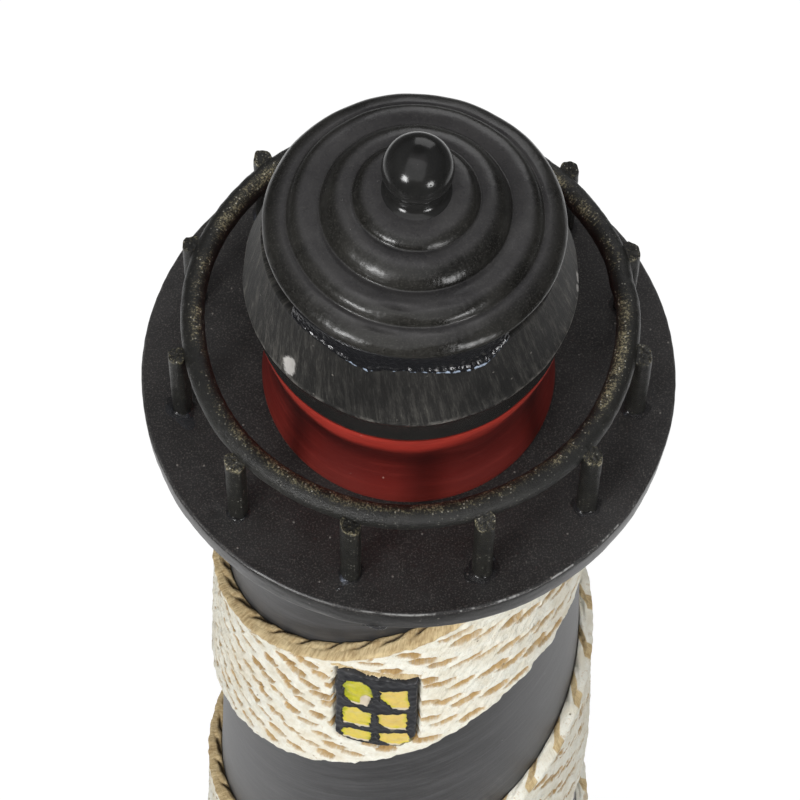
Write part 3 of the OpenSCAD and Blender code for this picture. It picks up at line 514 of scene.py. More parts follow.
def redWithPaintedLight():
    f = Finish("drumRed", Specular_IOR_Level=0.3, Coat_Roughness=0.14, Coat_Weight=0.06)
    z = f.parts(f.place)[2]
    up = (z - deckTop * mm) / (drumHigh * mm)
    pool = f.noise(70, 4, 0.6, f.stretch(1, 1, 2.2))
    band = f.noise(240, 3, 0.6, f.stretch(0.25, 0.25, 2.5))
    # Painted light and shade by height: bright under the lip, dark at the waist.
    level = f.node("ValToRGB", {"stops": redLook["lightAndShadeLevels"]}, [up + (pool - 0.5) * 0.12])
    base = f.mix(pool.clip(0.45, 0.75) * 0.5, level, redLook["pool"])
    base = f.mix(band.clip(0.5, 0.8) * 0.22, base, redLook["streak"])
    dust = specks(f, 520, 0.15, 0.06)
    base = f.mix(dust * 0.5, base, redLook["dust"])
    f.set(Base_Color=base, Roughness=0.3 + 0.16 * band + 0.1 * pool)
    f.bump(pool * 1.2 + band * 0.5, 0.12 * mm)
    return f.material


# Rail wire and posts: black-brown, with gold dry brushing that catches on raised grain and on
# fine marks across the wire. The high attribute says where the brush touched; on the rail that is
# a stripe along the wire's upper side, where the gold is both dry brushing and a painted highlight
# and the pale sparks are painted glints.
bronzeLook = {
    "dark": (0.009, 0.009, 0.008), "worn": (0.017, 0.0165, 0.0135), "olive": (0.09, 0.082, 0.055),
    "goldAndHighlight": (0.42, 0.375, 0.23), "sparkGlint": (0.86, 0.83, 0.70),
}


def bronzeBrushed():
    f = Finish("railBronze", Specular_IOR_Level=0.5)
    high = f.attribute("high")
    grain = f.noise(2600, 3, 0.8)
    spread = f.noise(210, 4, 0.65) * 0.6 + f.noise(45, 2, 0.5) * 0.4
    ticks = f.noise(1.0, 3, 0.75, f.vector(f.attribute("along") * 3.4, high * 2.2, spread * 2))
    lift = grain * 0.65 + ticks * 0.35
    touched = high * spread.clip(0.34, 0.60)
    goldAndHighlight = (lift + touched * 0.10).clip(0.56, 0.68) * (0.07 + touched * 0.93)
    base = f.mix(spread.clip(0.3, 0.7), bronzeLook["dark"], bronzeLook["worn"])
    base = f.mix(touched * touched * 0.25, base, bronzeLook["olive"])
    base = f.mix(goldAndHighlight, base, bronzeLook["goldAndHighlight"])
    # Painted glints: pale sparks, most of them in the touched stripe.
    sparkGlint = specks(f, 1900, 0.36, 0.22) * (0.12 + touched * 0.88)
    base = f.mix(sparkGlint * 0.8, base, bronzeLook["sparkGlint"])
    f.set(Base_Color=base, Metallic=goldAndHighlight * 0.4, Roughness=0.42 - goldAndHighlight * 0.08 + (grain - 0.5) * 0.2)
    f.bump(lift, 0.2 * mm)
    return f.material


# Tower wall: charcoal satin with brush marks that follow the band's climb, and soft mottling.
wallLook = {
    "climb": 19.5,                                    # mm that the brush marks climb in a radian
    "deep": (0.031, 0.031, 0.032), "pale": (0.044, 0.044, 0.046), "streak": (0.092, 0.092, 0.094),
    "fine": (0.14, 0.14, 0.143), "dust": (0.3, 0.3, 0.3),
}


def charcoalPaint():
    f = Finish("wallCharcoal", Specular_IOR_Level=0.6)
    turn, z = f.turn()
    climb = z - turn * (wallLook["climb"] * mm)
    flow = f.vector(turn * 0.45, climb * 110)
    streak = f.noise(3.2, 5, 0.62, flow)
    fine = f.noise(9.0, 4, 0.7, flow)
    mottle = f.noise(45, 5, 0.6)
    base = f.mix(mottle.clip(0.3, 0.75), wallLook["deep"], wallLook["pale"])
    base = f.mix(streak.clip(0.42, 0.70) * 0.50, base, wallLook["streak"])
    base = f.mix(fine.clip(0.50, 0.72) * 0.22, base, wallLook["fine"])
    base = f.mix(specks(f, 380, 0.12, 0.05) * 0.3, base, wallLook["dust"])
    f.set(Base_Color=base, Roughness=0.40 + 0.16 * streak)
    f.bump(mottle + 0.5 * f.noise(380, 3, 0.6) + 0.6 * fine, 0.08 * mm)
    return f.material


# Rope band: cream paint over an ochre wash that stays in the hollows. Where the wash, the tan
# ledge and the dark nicks lie comes from the relief, as attributes, and so do the distances
# along and across the band that the yarn's fine marks follow. The dark brown along each hollow's
# upper line and the dark nicks are painted shade.
bandLook = {
    "cream": (0.86, 0.85, 0.755), "creamLow": (0.76, 0.72, 0.59), "ochre": (0.34, 0.198, 0.062),
    "ochrePale": (0.52, 0.345, 0.140), "hollowShade": (0.125, 0.062, 0.020), "tan": (0.42, 0.290, 0.135),
    "tanPale": (0.70, 0.560, 0.320), "dark": (0.060, 0.036, 0.017), "haze": (0.78, 0.62, 0.38),
    "pit": (0.30, 0.19, 0.09),
}


def ropePaint():
    f = Finish("ropeCream", Specular_IOR_Level=0.3)
    wash = f.attribute("wash")
    ledge = f.attribute("ledge")
    deep = f.attribute("deep")
    along = f.attribute("along")
    down = f.attribute("down")
    yarn = f.noise(1.0, 3, 0.7, f.vector(along * 1.9 + down * 0.5, down * 0.45))
    comb = f.noise(1.0, 2, 0.6, f.vector(along * 1.15 + down * 0.3, down * 0.22, 7.0))
    mottle = f.noise(260, 5, 0.65)
    fine = f.noise(1300, 4, 0.7)
    soft = f.noise(70, 3, 0.5)
    pits = specks(f, 700, 0.20, 0.045)
    cream = f.mix(mottle.clip(0.35, 0.62), bandLook["creamLow"], bandLook["cream"])
    ochre = f.mix((yarn * 0.6 + fine * 0.4).clip(0.36, 0.62), bandLook["ochre"], bandLook["ochrePale"])
    stain = wash + (yarn - 0.5) * 0.4 + (comb - 0.5) * 0.3 + (mottle - 0.5) * 0.7 + (fine - 0.5) * 0.3
    base = f.mix(stain.clip(0.16, 0.62), cream, ochre)
    # Painted shade: dark brown along each hollow's upper line, where the wash is strongest.
    hollowShade = (wash + (yarn - 0.5) * 0.4 + (mottle - 0.5) * 0.5 + (fine - 0.5) * 0.35).clip(0.56, 1.0)
    base = f.mix(hollowShade * 0.95, base, bandLook["hollowShade"])
    haze = soft.clip(0.45, 0.7) * 0.16 + mottle.clip(0.55, 0.8) * 0.16
    base = f.mix(haze, base, bandLook["haze"])
    base = f.mix(fine.clip(0.56, 0.68) * mottle.clip(0.44, 0.60) * 0.55, base, bandLook["ochrePale"])
    tan = f.mix((yarn * 0.6 + mottle * 0.4).clip(0.36, 0.62), bandLook["tan"], bandLook["tanPale"])
    base = f.mix((ledge + (yarn - 0.5) * 0.35).clip(0.3, 0.7), base, tan)
    # Painted shade: the dark nicks between the ledge's lumps and between its strands.
    nickShade = (deep + (fine - 0.5) * 0.4 + (yarn - 0.5) * 0.3).clip(0.35, 0.85)
    base = f.mix(nickShade * 0.92, base, bandLook["dark"])
    base = f.mix(pits * 0.6, base, bandLook["pit"])
    f.set(Base_Color=base, Roughness=0.62 + 0.2 * fine)
    f.bump(mottle * 0.9 + fine * 0.5 + yarn * 0.8 - pits, 0.3 * mm)
    return f.material


# Window frame: thick charcoal paint put on by hand.
frameLook = {"deep": (0.018, 0.0185, 0.021), "pale": (0.036, 0.0375, 0.042), "dust": (0.4, 0.4, 0.38)}


def framePaint():
    f = Finish("frameCharcoal", Specular_IOR_Level=0.45)
    wave = f.noise(320, 4, 0.6)
    base = f.mix(wave.clip(0.35, 0.7), frameLook["deep"], frameLook["pale"])
    base = f.mix(specks(f, 900, 0.18, 0.06) * 0.4, base, frameLook["dust"])
    f.set(Base_Color=base, Roughness=0.34 + 0.2 * wave)
    f.bump(wave + 0.5 * f.noise(1100, 3, 0.6), 0.14 * mm)
    return f.material


# Amber panes: the tone attribute runs from yellow-green to deep amber, pale is the bare
# plaster that shows along the sills, and shade is the dark rim inside each light.
paneLook = {
    "tones": [                                        # from yellow-green to deep amber
        (0.0, (0.40, 0.42, 0.012)), (0.3, (0.66, 0.58, 0.040)), (0.62, (0.76, 0.58, 0.13)),
        (1.0, (0.74, 0.50, 0.17))],
    "plaster": (0.66, 0.57, 0.44), "rim": (0.10, 0.085, 0.03),
}


def amberTint():
    f = Finish("paneAmber", Specular_IOR_Level=0.5, Coat_Roughness=0.12, Coat_Weight=0.35)
    tone = f.attribute("tone")
    pale = f.attribute("pale")
    shade = f.attribute("shade")
    wave = f.noise(420, 4, 0.65)
    fine = f.noise(1500, 3, 0.7)
    base = f.node("ValToRGB", {"stops": paneLook["tones"]}, [tone + (wave - 0.5) * 0.45])
    bare = (pale + (wave - 0.5) * 0.7 + (fine - 0.5) * 0.3).clip(0.4, 0.75)
    base = f.mix(bare, base, paneLook["plaster"])
    rim = (shade + (fine - 0.5) * 0.3).clip(0.35, 0.9)
    base = f.mix(rim * 0.85, base, paneLook["rim"])
    f.set(Base_Color=base, Roughness=0.24 + 0.2 * wave)
    f.bump(wave + 0.4 * fine, 0.2 * mm)
    return f.material


# Dried clear glue: nearly clear, glossy and uneven, with small milky spots, which are thick
# where the attribute for them says so. On the bead they gather along its lower edge, where the
# pale blue is partly milky glue and partly a painted highlight.
def clearGlue(name, body, milk, milkShare, solid):
    f = Finish(name, Specular_IOR_Level=0.55)
    wave = f.noise(330, 4, 0.55)
    spot = (wave + (f.attribute("milk") - 0.45) * milkShare * 0.35).clip(0.50, 0.72)
    base = f.mix(spot, body, milk)
    f.set(Base_Color=base, Roughness=0.14 + 0.2 * wave, Alpha=solid + (1 - solid) * spot)
    f.bump(wave, 0.045 * mm)
    return f.material


# Moulded and metal pieces of the base and inside: a base tone, a second tone and a grain.
def plainFinish(name, tone, second, rough, grain, metal=0.0, bump=0.05, upward=1.0):
    f = Finish(name, Metallic=metal)
    wave = f.noise(grain, 4, 0.6, f.stretch(1, 1, upward))
    fine = f.noise(grain * 4.5, 3, 0.6)
    f.set(Base_Color=f.mix(wave.clip(0.3, 0.7), tone, second), Roughness=rough + 0.18 * (fine - 0.5))
    f.bump(wave * 0.6 + fine * 0.4, bump * mm)
    return f.material


brushed = brushedPaint()
red = redWithPaintedLight()
bronze = bronzeBrushed()
charcoal = charcoalPaint()
rope = ropePaint()
windowPaint = framePaint()
amber = amberTint()
footGluePaint = clearGlue("footGlueClear", (0.010, 0.010, 0.012), (0.13, 0.145, 0.18), 0.2, 0.30)
beadPaint = clearGlue("beadGlueClear", (0.012, 0.0122, 0.014), (0.36, 0.43, 0.54), 1.9, 0.8)
dropPaint = clearGlue("dropGlueClear", (0.045, 0.047, 0.052), (0.45, 0.48, 0.52), 1.0, 0.45)
print("finishes ready")

zinc = ((0.62, 0.63, 0.65), (0.46, 0.47, 0.49))
lens = ((0.86, 0.84, 0.74), (0.92, 0.90, 0.82))
green = ((0.020, 0.10, 0.045), (0.035, 0.15, 0.07))
redLead = ((0.36, 0.016, 0.012), (0.46, 0.03, 0.02))
finishes = {
    "base_plinth": plinthPaint,
    "rubber_feet": plainFinish("footRubber", (0.020, 0.020, 0.020), (0.035, 0.034, 0.033), 0.75, 500),
    "base_cover": plainFinish("coverPlastic", (0.018, 0.018, 0.019), (0.028, 0.028, 0.029), 0.5, 900),
    "battery_tray": plainFinish("trayPlastic", (0.016, 0.016, 0.017), (0.026, 0.026, 0.027), 0.5, 900),
    "battery_door": plainFinish("doorPlastic", (0.020, 0.020, 0.021), (0.032, 0.032, 0.033), 0.48, 950),
    "switch_knob": plainFinish("knobPlastic", (0.03, 0.03, 0.03), (0.045, 0.045, 0.046), 0.45, 900),
    "cover_screws": plainFinish("screwZinc", *zinc, 0.3, 900, 1.0),
    "switch_screws": plainFinish("smallScrewZinc", (0.60, 0.61, 0.63), (0.45, 0.46, 0.48), 0.3, 900, 1.0),
    "switch_body": plainFinish("switchSteel", (0.58, 0.59, 0.60), (0.44, 0.45, 0.46), 0.32, 700, 1.0),
    "contact_springs": plainFinish("springNickel", (0.70, 0.69, 0.66), (0.52, 0.51, 0.49), 0.25, 900, 1.0),
    "contact_plates": plainFinish("plateNickel", (0.68, 0.67, 0.64), (0.50, 0.49, 0.47), 0.28, 900, 1.0),
    "battery_cells": plainFinish("cellSleeve", (0.16, 0.17, 0.19), (0.22, 0.23, 0.25), 0.3, 400),
    "tower_shell": charcoal,
    "entry_surround": plainFinish("surroundStone", (0.10, 0.098, 0.094), (0.19, 0.185, 0.175), 0.6, 420,
                                  bump=0.25),
    "entry_door": plainFinish("doorBrown", (0.10, 0.042, 0.022), (0.17, 0.078, 0.040), 0.5, 260,
                              bump=0.12, upward=0.15),
    "entry_knob": plainFinish("knobBrass", (0.70, 0.50, 0.20), (0.45, 0.30, 0.11), 0.3, 900, 1.0),
    "lamp_holder": plainFinish("holderIvory", (0.62, 0.58, 0.48), (0.70, 0.67, 0.58), 0.5, 600),
    "lantern_lamp": plainFinish("lampLens", *lens, 0.15, 300),
    "window_lamp": plainFinish("lampLensSmall", *lens, 0.15, 300),
    "lantern_board": plainFinish("boardGreen", *green, 0.35, 500),
    "window_board": plainFinish("stripGreen", *green, 0.35, 500),
    "switch_lead": plainFinish("leadRedShort", *redLead, 0.4, 500),
    "supply_lead": plainFinish("leadRed", *redLead, 0.4, 500),
    "return_lead": plainFinish("leadBlack", (0.016, 0.016, 0.016), (0.03, 0.03, 0.03), 0.4, 500),
}
for nodeName, material in finishes.items():
    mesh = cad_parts[nodeName].data
    if not mesh.materials:
        mesh.materials.append(material)
    for k in range(len(mesh.materials)):
        mesh.materials[k] = material
print("CAD nodes dressed")

# The dome and its ball were glued on a hair askew: their front is raised and they lean right.
askew = {"back": 2.0, "right": 0.76, "shift": 0.40}   # degrees, degrees, mm


# Askew: x and y slide with the height over the dome's foot, z tips with x and y.
def tilted(points):
    back = math.sin(math.radians(askew["back"]))
    side = math.sin(math.radians(askew["right"]))
    x, y, z = points[..., 0], points[..., 1], points[..., 2]
    up = z - domeLow
    return np.stack([x + up * side + askew["shift"], y + up * back, z - y * back - x * side], -1)


# Roof dome: four turned tiers, each steep at its groove and rolled over to lie nearly flat.
domeForm = {
    "sides": 360, "step": 0.2,
    "wobble": 0.07,                                   # unevenness of the casting, mm
    "tiers": [                                        # radius, height over the dome's foot
        (24.3, 0.0), (24.4, 1.2), (25.1, 2.6), (25.35, 3.3), (25.35, 3.6),
        (25.1, 4.1), (24.7, 4.75), (24.0, 5.4), (23.2, 5.85), (22.5, 6.15), (21.9, 6.3), (21.4, 6.15),
        (21.2, 6.75), (20.8, 7.5), (20.2, 8.1), (19.4, 8.5), (18.4, 8.7), (17.2, 8.65), (16.3, 8.45),
        (15.95, 8.35),
        (15.8, 8.75), (15.5, 9.5), (14.9, 10.5), (14.1, 11.3), (13.2, 11.85), (12.2, 12.15), (11.3, 12.2),
        (10.8, 12.1), (10.55, 12.0),
        (10.4, 12.3), (10.1, 12.9), (9.5, 13.5), (8.7, 13.9), (7.8, 14.1), (6.8, crownRise),
        (5.3, crownRise)],
    "hollow": [(0.0, 8.0), (12.0, 6.0), (20.0, 0.6), (21.5, -0.3), (24.1, -0.3)],       # underside
}
outer = soften(flowing(domeForm["tiers"], domeForm["step"]), 5)
domeProfile = np.concatenate([finer(domeForm["hollow"], 1.5), outer, [(2.0, crownRise), (0.0, crownRise)]])
domeProfile = domeProfile + [0, domeLow]


# Unevenness of the dome: slow ripples of height, more of them on the front of the lower tiers.
def domeUneven(r, a, z):
    x, y = r * np.cos(a), r * np.sin(a)
    top = smooth(z, domeLow + 2.6, domeLow + 3.4) * smooth(r, 4.2, 8.0)
    low = domeForm["wobble"] * ripple(x, y, z * 0.2, 16, 11) + 0.03 * ripple(x, y, z, 6, 12)
    front = smooth(-y, 12, 20) * smooth(r, 15.5, 18) * (1 - smooth(r, 24.2, 25.2))
    low = low + 0.075 * front * ripple(a * 20, r * 3.2, 0, 8.0, 13)
    low = low + 0.012 * smooth(-y, 4, 12) * ripple(a * 60, r * 1.2, 0, 4.0, 14)
    return low * top * 0.5, low * top * 0.9


# How level the skin is along its profile: the share of r in each small step, on the outside only.
# Where it is level the dome's paint is lightened as a painted reflection.
slope = np.gradient(domeProfile, axis=0)
level = np.abs(slope[:, 0]) / (np.hypot(slope[:, 0], slope[:, 1]) + 1e-6)
level = np.convolve(smooth(level, 0.86, 1.0) * (slope[:, 0] < 0), np.ones(5) / 5, "same")
flat = {"flat": np.repeat(level[:, None], domeForm["sides"], 1)}
makeTurned("dome", domeProfile, domeForm, domeUneven, domePaint, "black_resin", "roof_dome", tilted,
           extra=flat)

# Ball finial: a ball on a short collar.
ballForm = {"radius": 6.0, "foot": 6.1, "neck": 4.55, "sides": 160}
ballMid = highest - 0.05 - ballForm["radius"]
neckEnd = math.degrees(math.acos(ballForm["neck"] / ballForm["radius"]))
neckTop = ballMid - ballForm["radius"] * math.sin(math.radians(neckEnd))
neckLine = flowing([(ballForm["foot"], crown - 0.1), (5.6, crown + 0.2), (5.2, crown + 0.55),
                    (4.85, crown + 1.1), (4.65, crown + 1.8), (ballForm["neck"], neckTop)], 0.2)
ballLine = arc(0, ballMid, ballForm["radius"], -neckEnd, 90, 56)
ballProfile = np.concatenate([[(0, crown - 0.2), (3.0, crown - 0.2)], neckLine[:-1], ballLine])
ballProfile[-1, 0] = 0


# Unevenness of the ball: its skin sinks by up to a tenth of a millimetre in slow ripples.
def ballUneven(r, a, z):
    x, y = r * np.cos(a), r * np.sin(a)
    return -0.05 * smooth(r, 0, 3) * (1 + 0.5 * ripple(x, y, z, 9, 21)), 0


makeTurned("ball_finial", ballProfile, ballForm, ballUneven, ballPaint, "black_resin", "roof_finial", tilted)

# Skirt of the lantern cap: a cone that flares to a worn edge, then a glossy lip that turns in.
skirtForm = {
    "sides": 360, "top": 25.2, "edge": 28.6, "lip": 26.8, "inner": 21.4,
    "nick": (224.4, 38.8), "nickDepth": 0.35,         # angle and height over the deck of the chip
}
s = skirtForm
skirtProfile = np.concatenate([
    [(s["inner"] - 1, domeLow), (s["inner"], skirtLow - 2), (s["inner"] + 2, skirtLow - 2)],
    [(s["inner"] + 2, skirtLow + 0.02)],
    flowing([(s["lip"] - 0.9, skirtLow + 0.02), (s["lip"] - 0.1, skirtLow + 0.2),
             (s["lip"] + 0.4, skirtLow + 1.6), (27.7, skirtLow + 5.6), (28.25, skirtLow + 8.6)], 0.4),
    flowing([(s["edge"] - 0.2, skirtLow + 9.3), (s["edge"], skirtLow + 9.75),
             (s["edge"], skirtLow + 10.15), (s["edge"] - 0.2, skirtLow + 10.7)], 0.12),
    flowing([(28.15, skirtLow + 11.6), (27.4, skirtLow + 15.0), (26.5, skirtLow + 18.8),
             (25.7, skirtLow + 22.0), (s["top"], domeLow), (s["top"] - 0.6, domeLow + 0.35),
             (22.5, domeLow + 0.35)], 0.4)[1:],
])
skirtProfile = finer(skirtProfile, 0.9)


# Unevenness of the skirt: ripples of its radius, none where it meets the drum and the dome, and
# a round nick at the chip.
def skirtUneven(r, a, z):
    x, y = r * np.cos(a), r * np.sin(a)
    outside = smooth(r, s["inner"] + 2.6, s["inner"] + 3.4) * smooth(z, skirtLow, skirtLow + 1)
    outside = outside * (1 - smooth(z, domeLow - 0.6, domeLow))
    low = 0.09 * ripple(x, y, z, 14, 31) - 0.09
    nickTurn, nickUp = s["nick"]
    nick = np.exp(-((np.degrees(a) % 360 - nickTurn) / 1.6) ** 2)
    nick = s["nickDepth"] * nick * np.exp(-((z - deckTop - nickUp) / 2.2) ** 2)
    return (low - nick) * outside, 0


makeTurned("cap_skirt", skirtProfile, s, skirtUneven, brushed, "black_resin", "roof_skirt", sharp=50)

# Lantern drum: a hollow waist between a bright upper roll and a flared foot.
drumForm = {
    "sides": 256, "wall": 2.0,
    "outline": [                                      # radius, height over the deck
        (26.2, 0.02), (26.25, 0.9), (26.05, 2.6), (25.6, 4.8), (25.1, 7.4), (24.75, 10.4), (24.7, 13.4),
        (25.0, 16.4), (25.55, 19.2), (26.2, 22.0), (26.7, 24.4), (26.8, 25.96)],
}
outer = flowing(drumForm["outline"], 0.5)
drumProfile = np.concatenate([outer, (outer - [drumForm["wall"], 0])[::-6]]) + [0, deckTop]


# Unevenness of the drum: ripples of its outer radius, none at foot and top.
def drumUneven(r, a, z):
    x, y = r * np.cos(a), r * np.sin(a)
    outside = plateau(z - deckTop, 0.3, 2, 23, 25.5)
    return (0.09 * ripple(x, y, z, 17, 41) - 0.09) * outside * (r > 24.0), 0


makeTurned("red_drum", drumProfile, drumForm, drumUneven, red, "red_resin", "lantern_drum", sharp=60)

# Glue squeezed out under the dome's raised front: it hangs from the rim over the joint, down
# to an uneven line on the skirt where it gathers in a bead.
glueForm = {
    "from": -141.5, "to": -49.0, "rings": 420, "rows": 22, "bead": 0.30, "rim": 24.55, "rimUp": 52.3,
    "line": [                                         # angle, radius, height over the deck
        (-142, 25.0, 50.6), (-139, 25.1, 49.9), (-134, 25.2, 50.2), (-121, 25.3, 49.7), (-113, 25.5, 48.8),
        (-105, 25.65, 48.0), (-99, 25.4, 49.2), (-93, 25.3, 49.5), (-82, 25.4, 49.0), (-69, 25.8, 47.5),
        (-61, 25.85, 47.3), (-55, 25.5, 49.0), (-49, 25.1, 50.4)],
    "milkAndGlintByAngle": [                                        # angle, how milky and bright the bead's lower edge is: partly milky glue, partly painted highlight
        (-142, 1), (-139, 1), (-134, 0), (-116, 0), (-112, 1), (-106, 1), (-101, 0.1), (-97, 0.6),
        (-80, 0.9), (-52, 0.8)],
}
turn = np.linspace(glueForm["from"], glueForm["to"], glueForm["rings"])
lineTurn, lineR, lineH = np.transpose(glueForm["line"])
wander = 0.18 * ripple(turn, 0, 0, 4.5, 81) + 0.04 * ripple(turn, 0, 0, 1.5, 82)
ends = plateau(turn, turn[0], turn[0] + 2.5, turn[-1] - 2.5, turn[-1])
footR = np.interp(turn, lineTurn, lineR)
footH = np.interp(turn, lineTurn, lineH) + wander * ends
rimH = glueForm["rimUp"] - 25.0 * np.sin(np.radians(turn)) * math.sin(math.radians(askew["back"]))
topR = glueForm["rim"] + 0.3 * ends
t = np.linspace(0, 1, glueForm["rows"])[None, :]
swell = glueForm["bead"] * ends * (1 + 0.18 * ripple(turn, 0, 0, 3.0, 83))
bulge = np.exp(-((t - 0.86) / 0.12) ** 2) * swell[:, None]
bulge = bulge + 0.07 * ends[:, None] * ripple(turn[:, None], t * 9, 0, 3.2, 84) * np.sin(math.pi * t)
frontR = topR[:, None] + (footR - topR)[:, None] * t ** 1.5 + bulge
frontH = rimH[:, None] + (footH - rimH)[:, None] * t
backR = topR[:, None] + (footR - topR)[:, None] * t[:, ::-1] ** 1.5 - 0.7
backH = rimH[:, None] + (footH + 0.15 - rimH)[:, None] * t[:, ::-1]
radius = np.concatenate([frontR, backR], 1)
height = deckTop + np.concatenate([frontH, backH], 1)
points = spun(radius, np.radians(turn)[:, None], height)
points[0] = points[0].mean(0)
points[-1] = points[-1].mean(0)
# Pale blue along the bead's lower edge: partly milky glue, partly a painted highlight.
patchy = np.interp(turn, *np.transpose(glueForm["milkAndGlintByAngle"])) * (0.75 + 0.35 * ripple(turn, 0, 0, 2.6, 85))
milk = np.concatenate([smooth(t, 0.74, 0.94) * patchy[:, None], 0 * backR], 1)
makePiece("dome_glue", points, gridFaces(*points.shape[:2], wrapColumns=True), beadPaint, "black_resin",
          weld=True, extra={"milk": milk})
print("lantern ready")

# Gallery deck: flat top, an upright edge with a rounded arris, and a hollow moulding below.
deckForm = {
    "sides": 400, "radius": deckRadius, "thick": 8.0, "nose": 2.5, "corner": 0.7, "under": 44.4, "bore": 8.95,
    "collar": 28.3, "spigot": 26.8,                   # radii where it seats on and in the tower
    "dents": [(-139.3, 44.0, 0.42, 0.5), (-58.3, 44.2, 0.36, 0.4)],     # angle, radius, size, depth
    "arrisGlint": (-112, -78, -40, -20),                  # angles between which a pale glint is painted along the arris
}
d = deckForm
coveTurn = np.linspace(math.pi / 2, 0, 30)
cove = np.stack([wallHead + 0.6 + (d["under"] - wallHead - 0.6) * (1 - np.cos(coveTurn)),
                 towerTop + 1 + (deckTop - d["thick"] - towerTop - 1) * np.sin(coveTurn)], -1)
deckProfile = np.concatenate([
    [(r, deckTop) for r in np.linspace(d["bore"], d["radius"] - d["corner"] - 0.3, 60)],
    arc(d["radius"] - d["corner"], deckTop - d["corner"], d["corner"], 90, 4, 8),
    [(d["radius"] - 0.02, deckTop - 2.0), (d["radius"] - 0.15, deckTop - 4.0)],
    arc(d["radius"] - d["nose"] - 0.3, deckTop - d["thick"] + d["nose"], d["nose"], 0, -90, 10),
    cove,
    [(wallHead, towerTop), (d["collar"], towerTop), (d["collar"], towerTop - 3), (d["spigot"], towerTop - 3),
     (d["spigot"], deckTop - d["thick"] - 1), (d["bore"], deckTop - d["thick"] - 1)]])
deckProfile = finer(deckProfile, 0.9)


# Unevenness of the deck: shallow ripples and pinholes on top, a wavy edge.
def deckUneven(r, a, z):
    x, y = r * np.cos(a), r * np.sin(a)
    top = smooth(z, deckTop - 0.2, deckTop) * smooth(r, 29, 32) * (1 - smooth(r, 46.6, 47.4))
    dz = -0.03 * (1 + ripple(x, y, 0, 11, 51)) * top
    for angle, radius, size, depth in d["dents"]:
        px = radius * math.cos(math.radians(angle))
        py = radius * math.sin(math.radians(angle))
        dz = dz - depth * np.exp(-((x - px) ** 2 + (y - py) ** 2) / size ** 2) * top
    side = smooth(r, 46.8, 47.6) * (1 - smooth(z, deckTop - 0.1, deckTop))
    return (0.06 * ripple(x, y, z, 13, 52) + 0.025 * ripple(x, y, z, 3, 53) - 0.12) * side, dz


# The edge attribute: near the upper arris, where a pale glint is painted, mostly between the listed angles.
corner = np.hypot(deckProfile[:, 0] - d["radius"] + 0.35, deckProfile[:, 1] - deckTop + 0.28)
edgeTurn = np.linspace(0, 360, d["sides"], endpoint=False)[None, :] - 360
arrisGlint = 0.12 + 0.88 * plateau(edgeTurn, *d["arrisGlint"])
edge = {"edge": (1 - smooth(corner, 0.10, 0.28))[:, None] * arrisGlint}
makeTurned("deck", deckProfile, d, deckUneven, deckPaint, "black_resin", "gallery_deck", flip=True,
           sharp=60, extra=edge)

# Rail: round wire bent by hand into a ring, a little wavy, its coat uneven.
railForm = {
    "radius": 37.95, "up": 19.9, "wire": 2.12, "rings": 720, "sides": 28, "wave": 0.22,
    "kink": 12, "goldAndHighlight": 112,                          # angle of the kink, and round the wire of the gold stripe: dry brushing and painted highlight
}
a = np.linspace(0, 2 * math.pi, railForm["rings"], endpoint=False)
wave = railForm["wave"]
kink = np.exp(-((np.degrees(a) - railForm["kink"]) / 5) ** 2)
r = railForm["radius"] + wave * 0.5 * np.sin(3 * a + 1.1) + wave * 0.4 * np.sin(7 * a) - 0.45 * kink
z = deckTop + railForm["up"] + wave * np.sin(2 * a + 0.4) + 0.5 * wave * np.sin(5 * a + 2)
around = np.linspace(0, 2 * math.pi, railForm["sides"], endpoint=False)
ahead, aside = np.cos(a)[:, None], np.sin(a)[:, None]
wire = railForm["wire"] + 0.03 * ripple(ahead * 60, aside * 60, around * 3, 5.5, 61)
wire = wire + 0.02 * ripple(ahead * 90, aside * 90, around * 3, 1.8, 64)
points = tube(spun(r, a, z), wire, railForm["sides"])
# Stripe along the wire's upper side: gold dry brushing and a painted highlight.
upward = np.cos(around - math.radians(railForm["goldAndHighlight"]))[None, :] + 0 * wire
touched = {"high": smooth(upward, 0.62, 1.0), "along": a[:, None] * railForm["radius"] + 0 * wire}
faces = gridFaces(*points.shape[:2], wrapRows=True, wrapColumns=True, flip=True)
makePiece("rail", points, faces, bronze, "rail_wire", ["rail_ring"], extra=touched)


# Faces of count equal grids whose points follow each other, per points in each.
def repeated(one, per, count):
    return np.concatenate([one + per * n for n in range(count)])


# Posts: short wire stubs glued upright, each snipped off at its own slant.
postForm = {
    "count": 12, "start": 136.0, "drift": 5.3, "circle": 41.1, "radius": 1.78, "up": 20.9, "sunk": 1.8,
    "shorter": 0.5, "slant": (0.12, 0.42), "sides": 40, "rows": 60,
}
p = postForm
k = np.arange(p["count"])
turn = 360.0 / p["count"] * k
postAngle = np.radians(p["start"] + turn + p["drift"] * np.sin(np.radians(turn - 108)))
rng = np.random.default_rng(7)
slantTo = rng.uniform(0, 2 * math.pi, p["count"])
slant = rng.uniform(*p["slant"], p["count"])
shorter = rng.uniform(0.0, p["shorter"], p["count"])
sideAngle = np.linspace(0, 2 * math.pi, p["sides"], endpoint=False)
level = np.concatenate([np.linspace(0, 1, p["rows"]), [1.0] * 6])     # last rows close the cut top
inward = np.concatenate([np.ones(p["rows"] - 1), [0.96, 0.80, 0.60, 0.40, 0.20, 0.08, 0.0]])
post, row, side = np.meshgrid(k, np.arange(len(level)), np.arange(p["sides"]), indexing="ij")
angle = sideAngle[side]
square = 1 + 0.05 * np.cos(5 * angle + 2.1 * post) + 0.03 * np.cos(3 * angle + post)
radius = p["radius"] * square * inward[row]
lengthwise = level[row] * 20 + 31 * post
radius = radius * (1 + 0.02 * ripple(np.cos(angle) * 2, np.sin(angle) * 2, lengthwise, 4, 62))
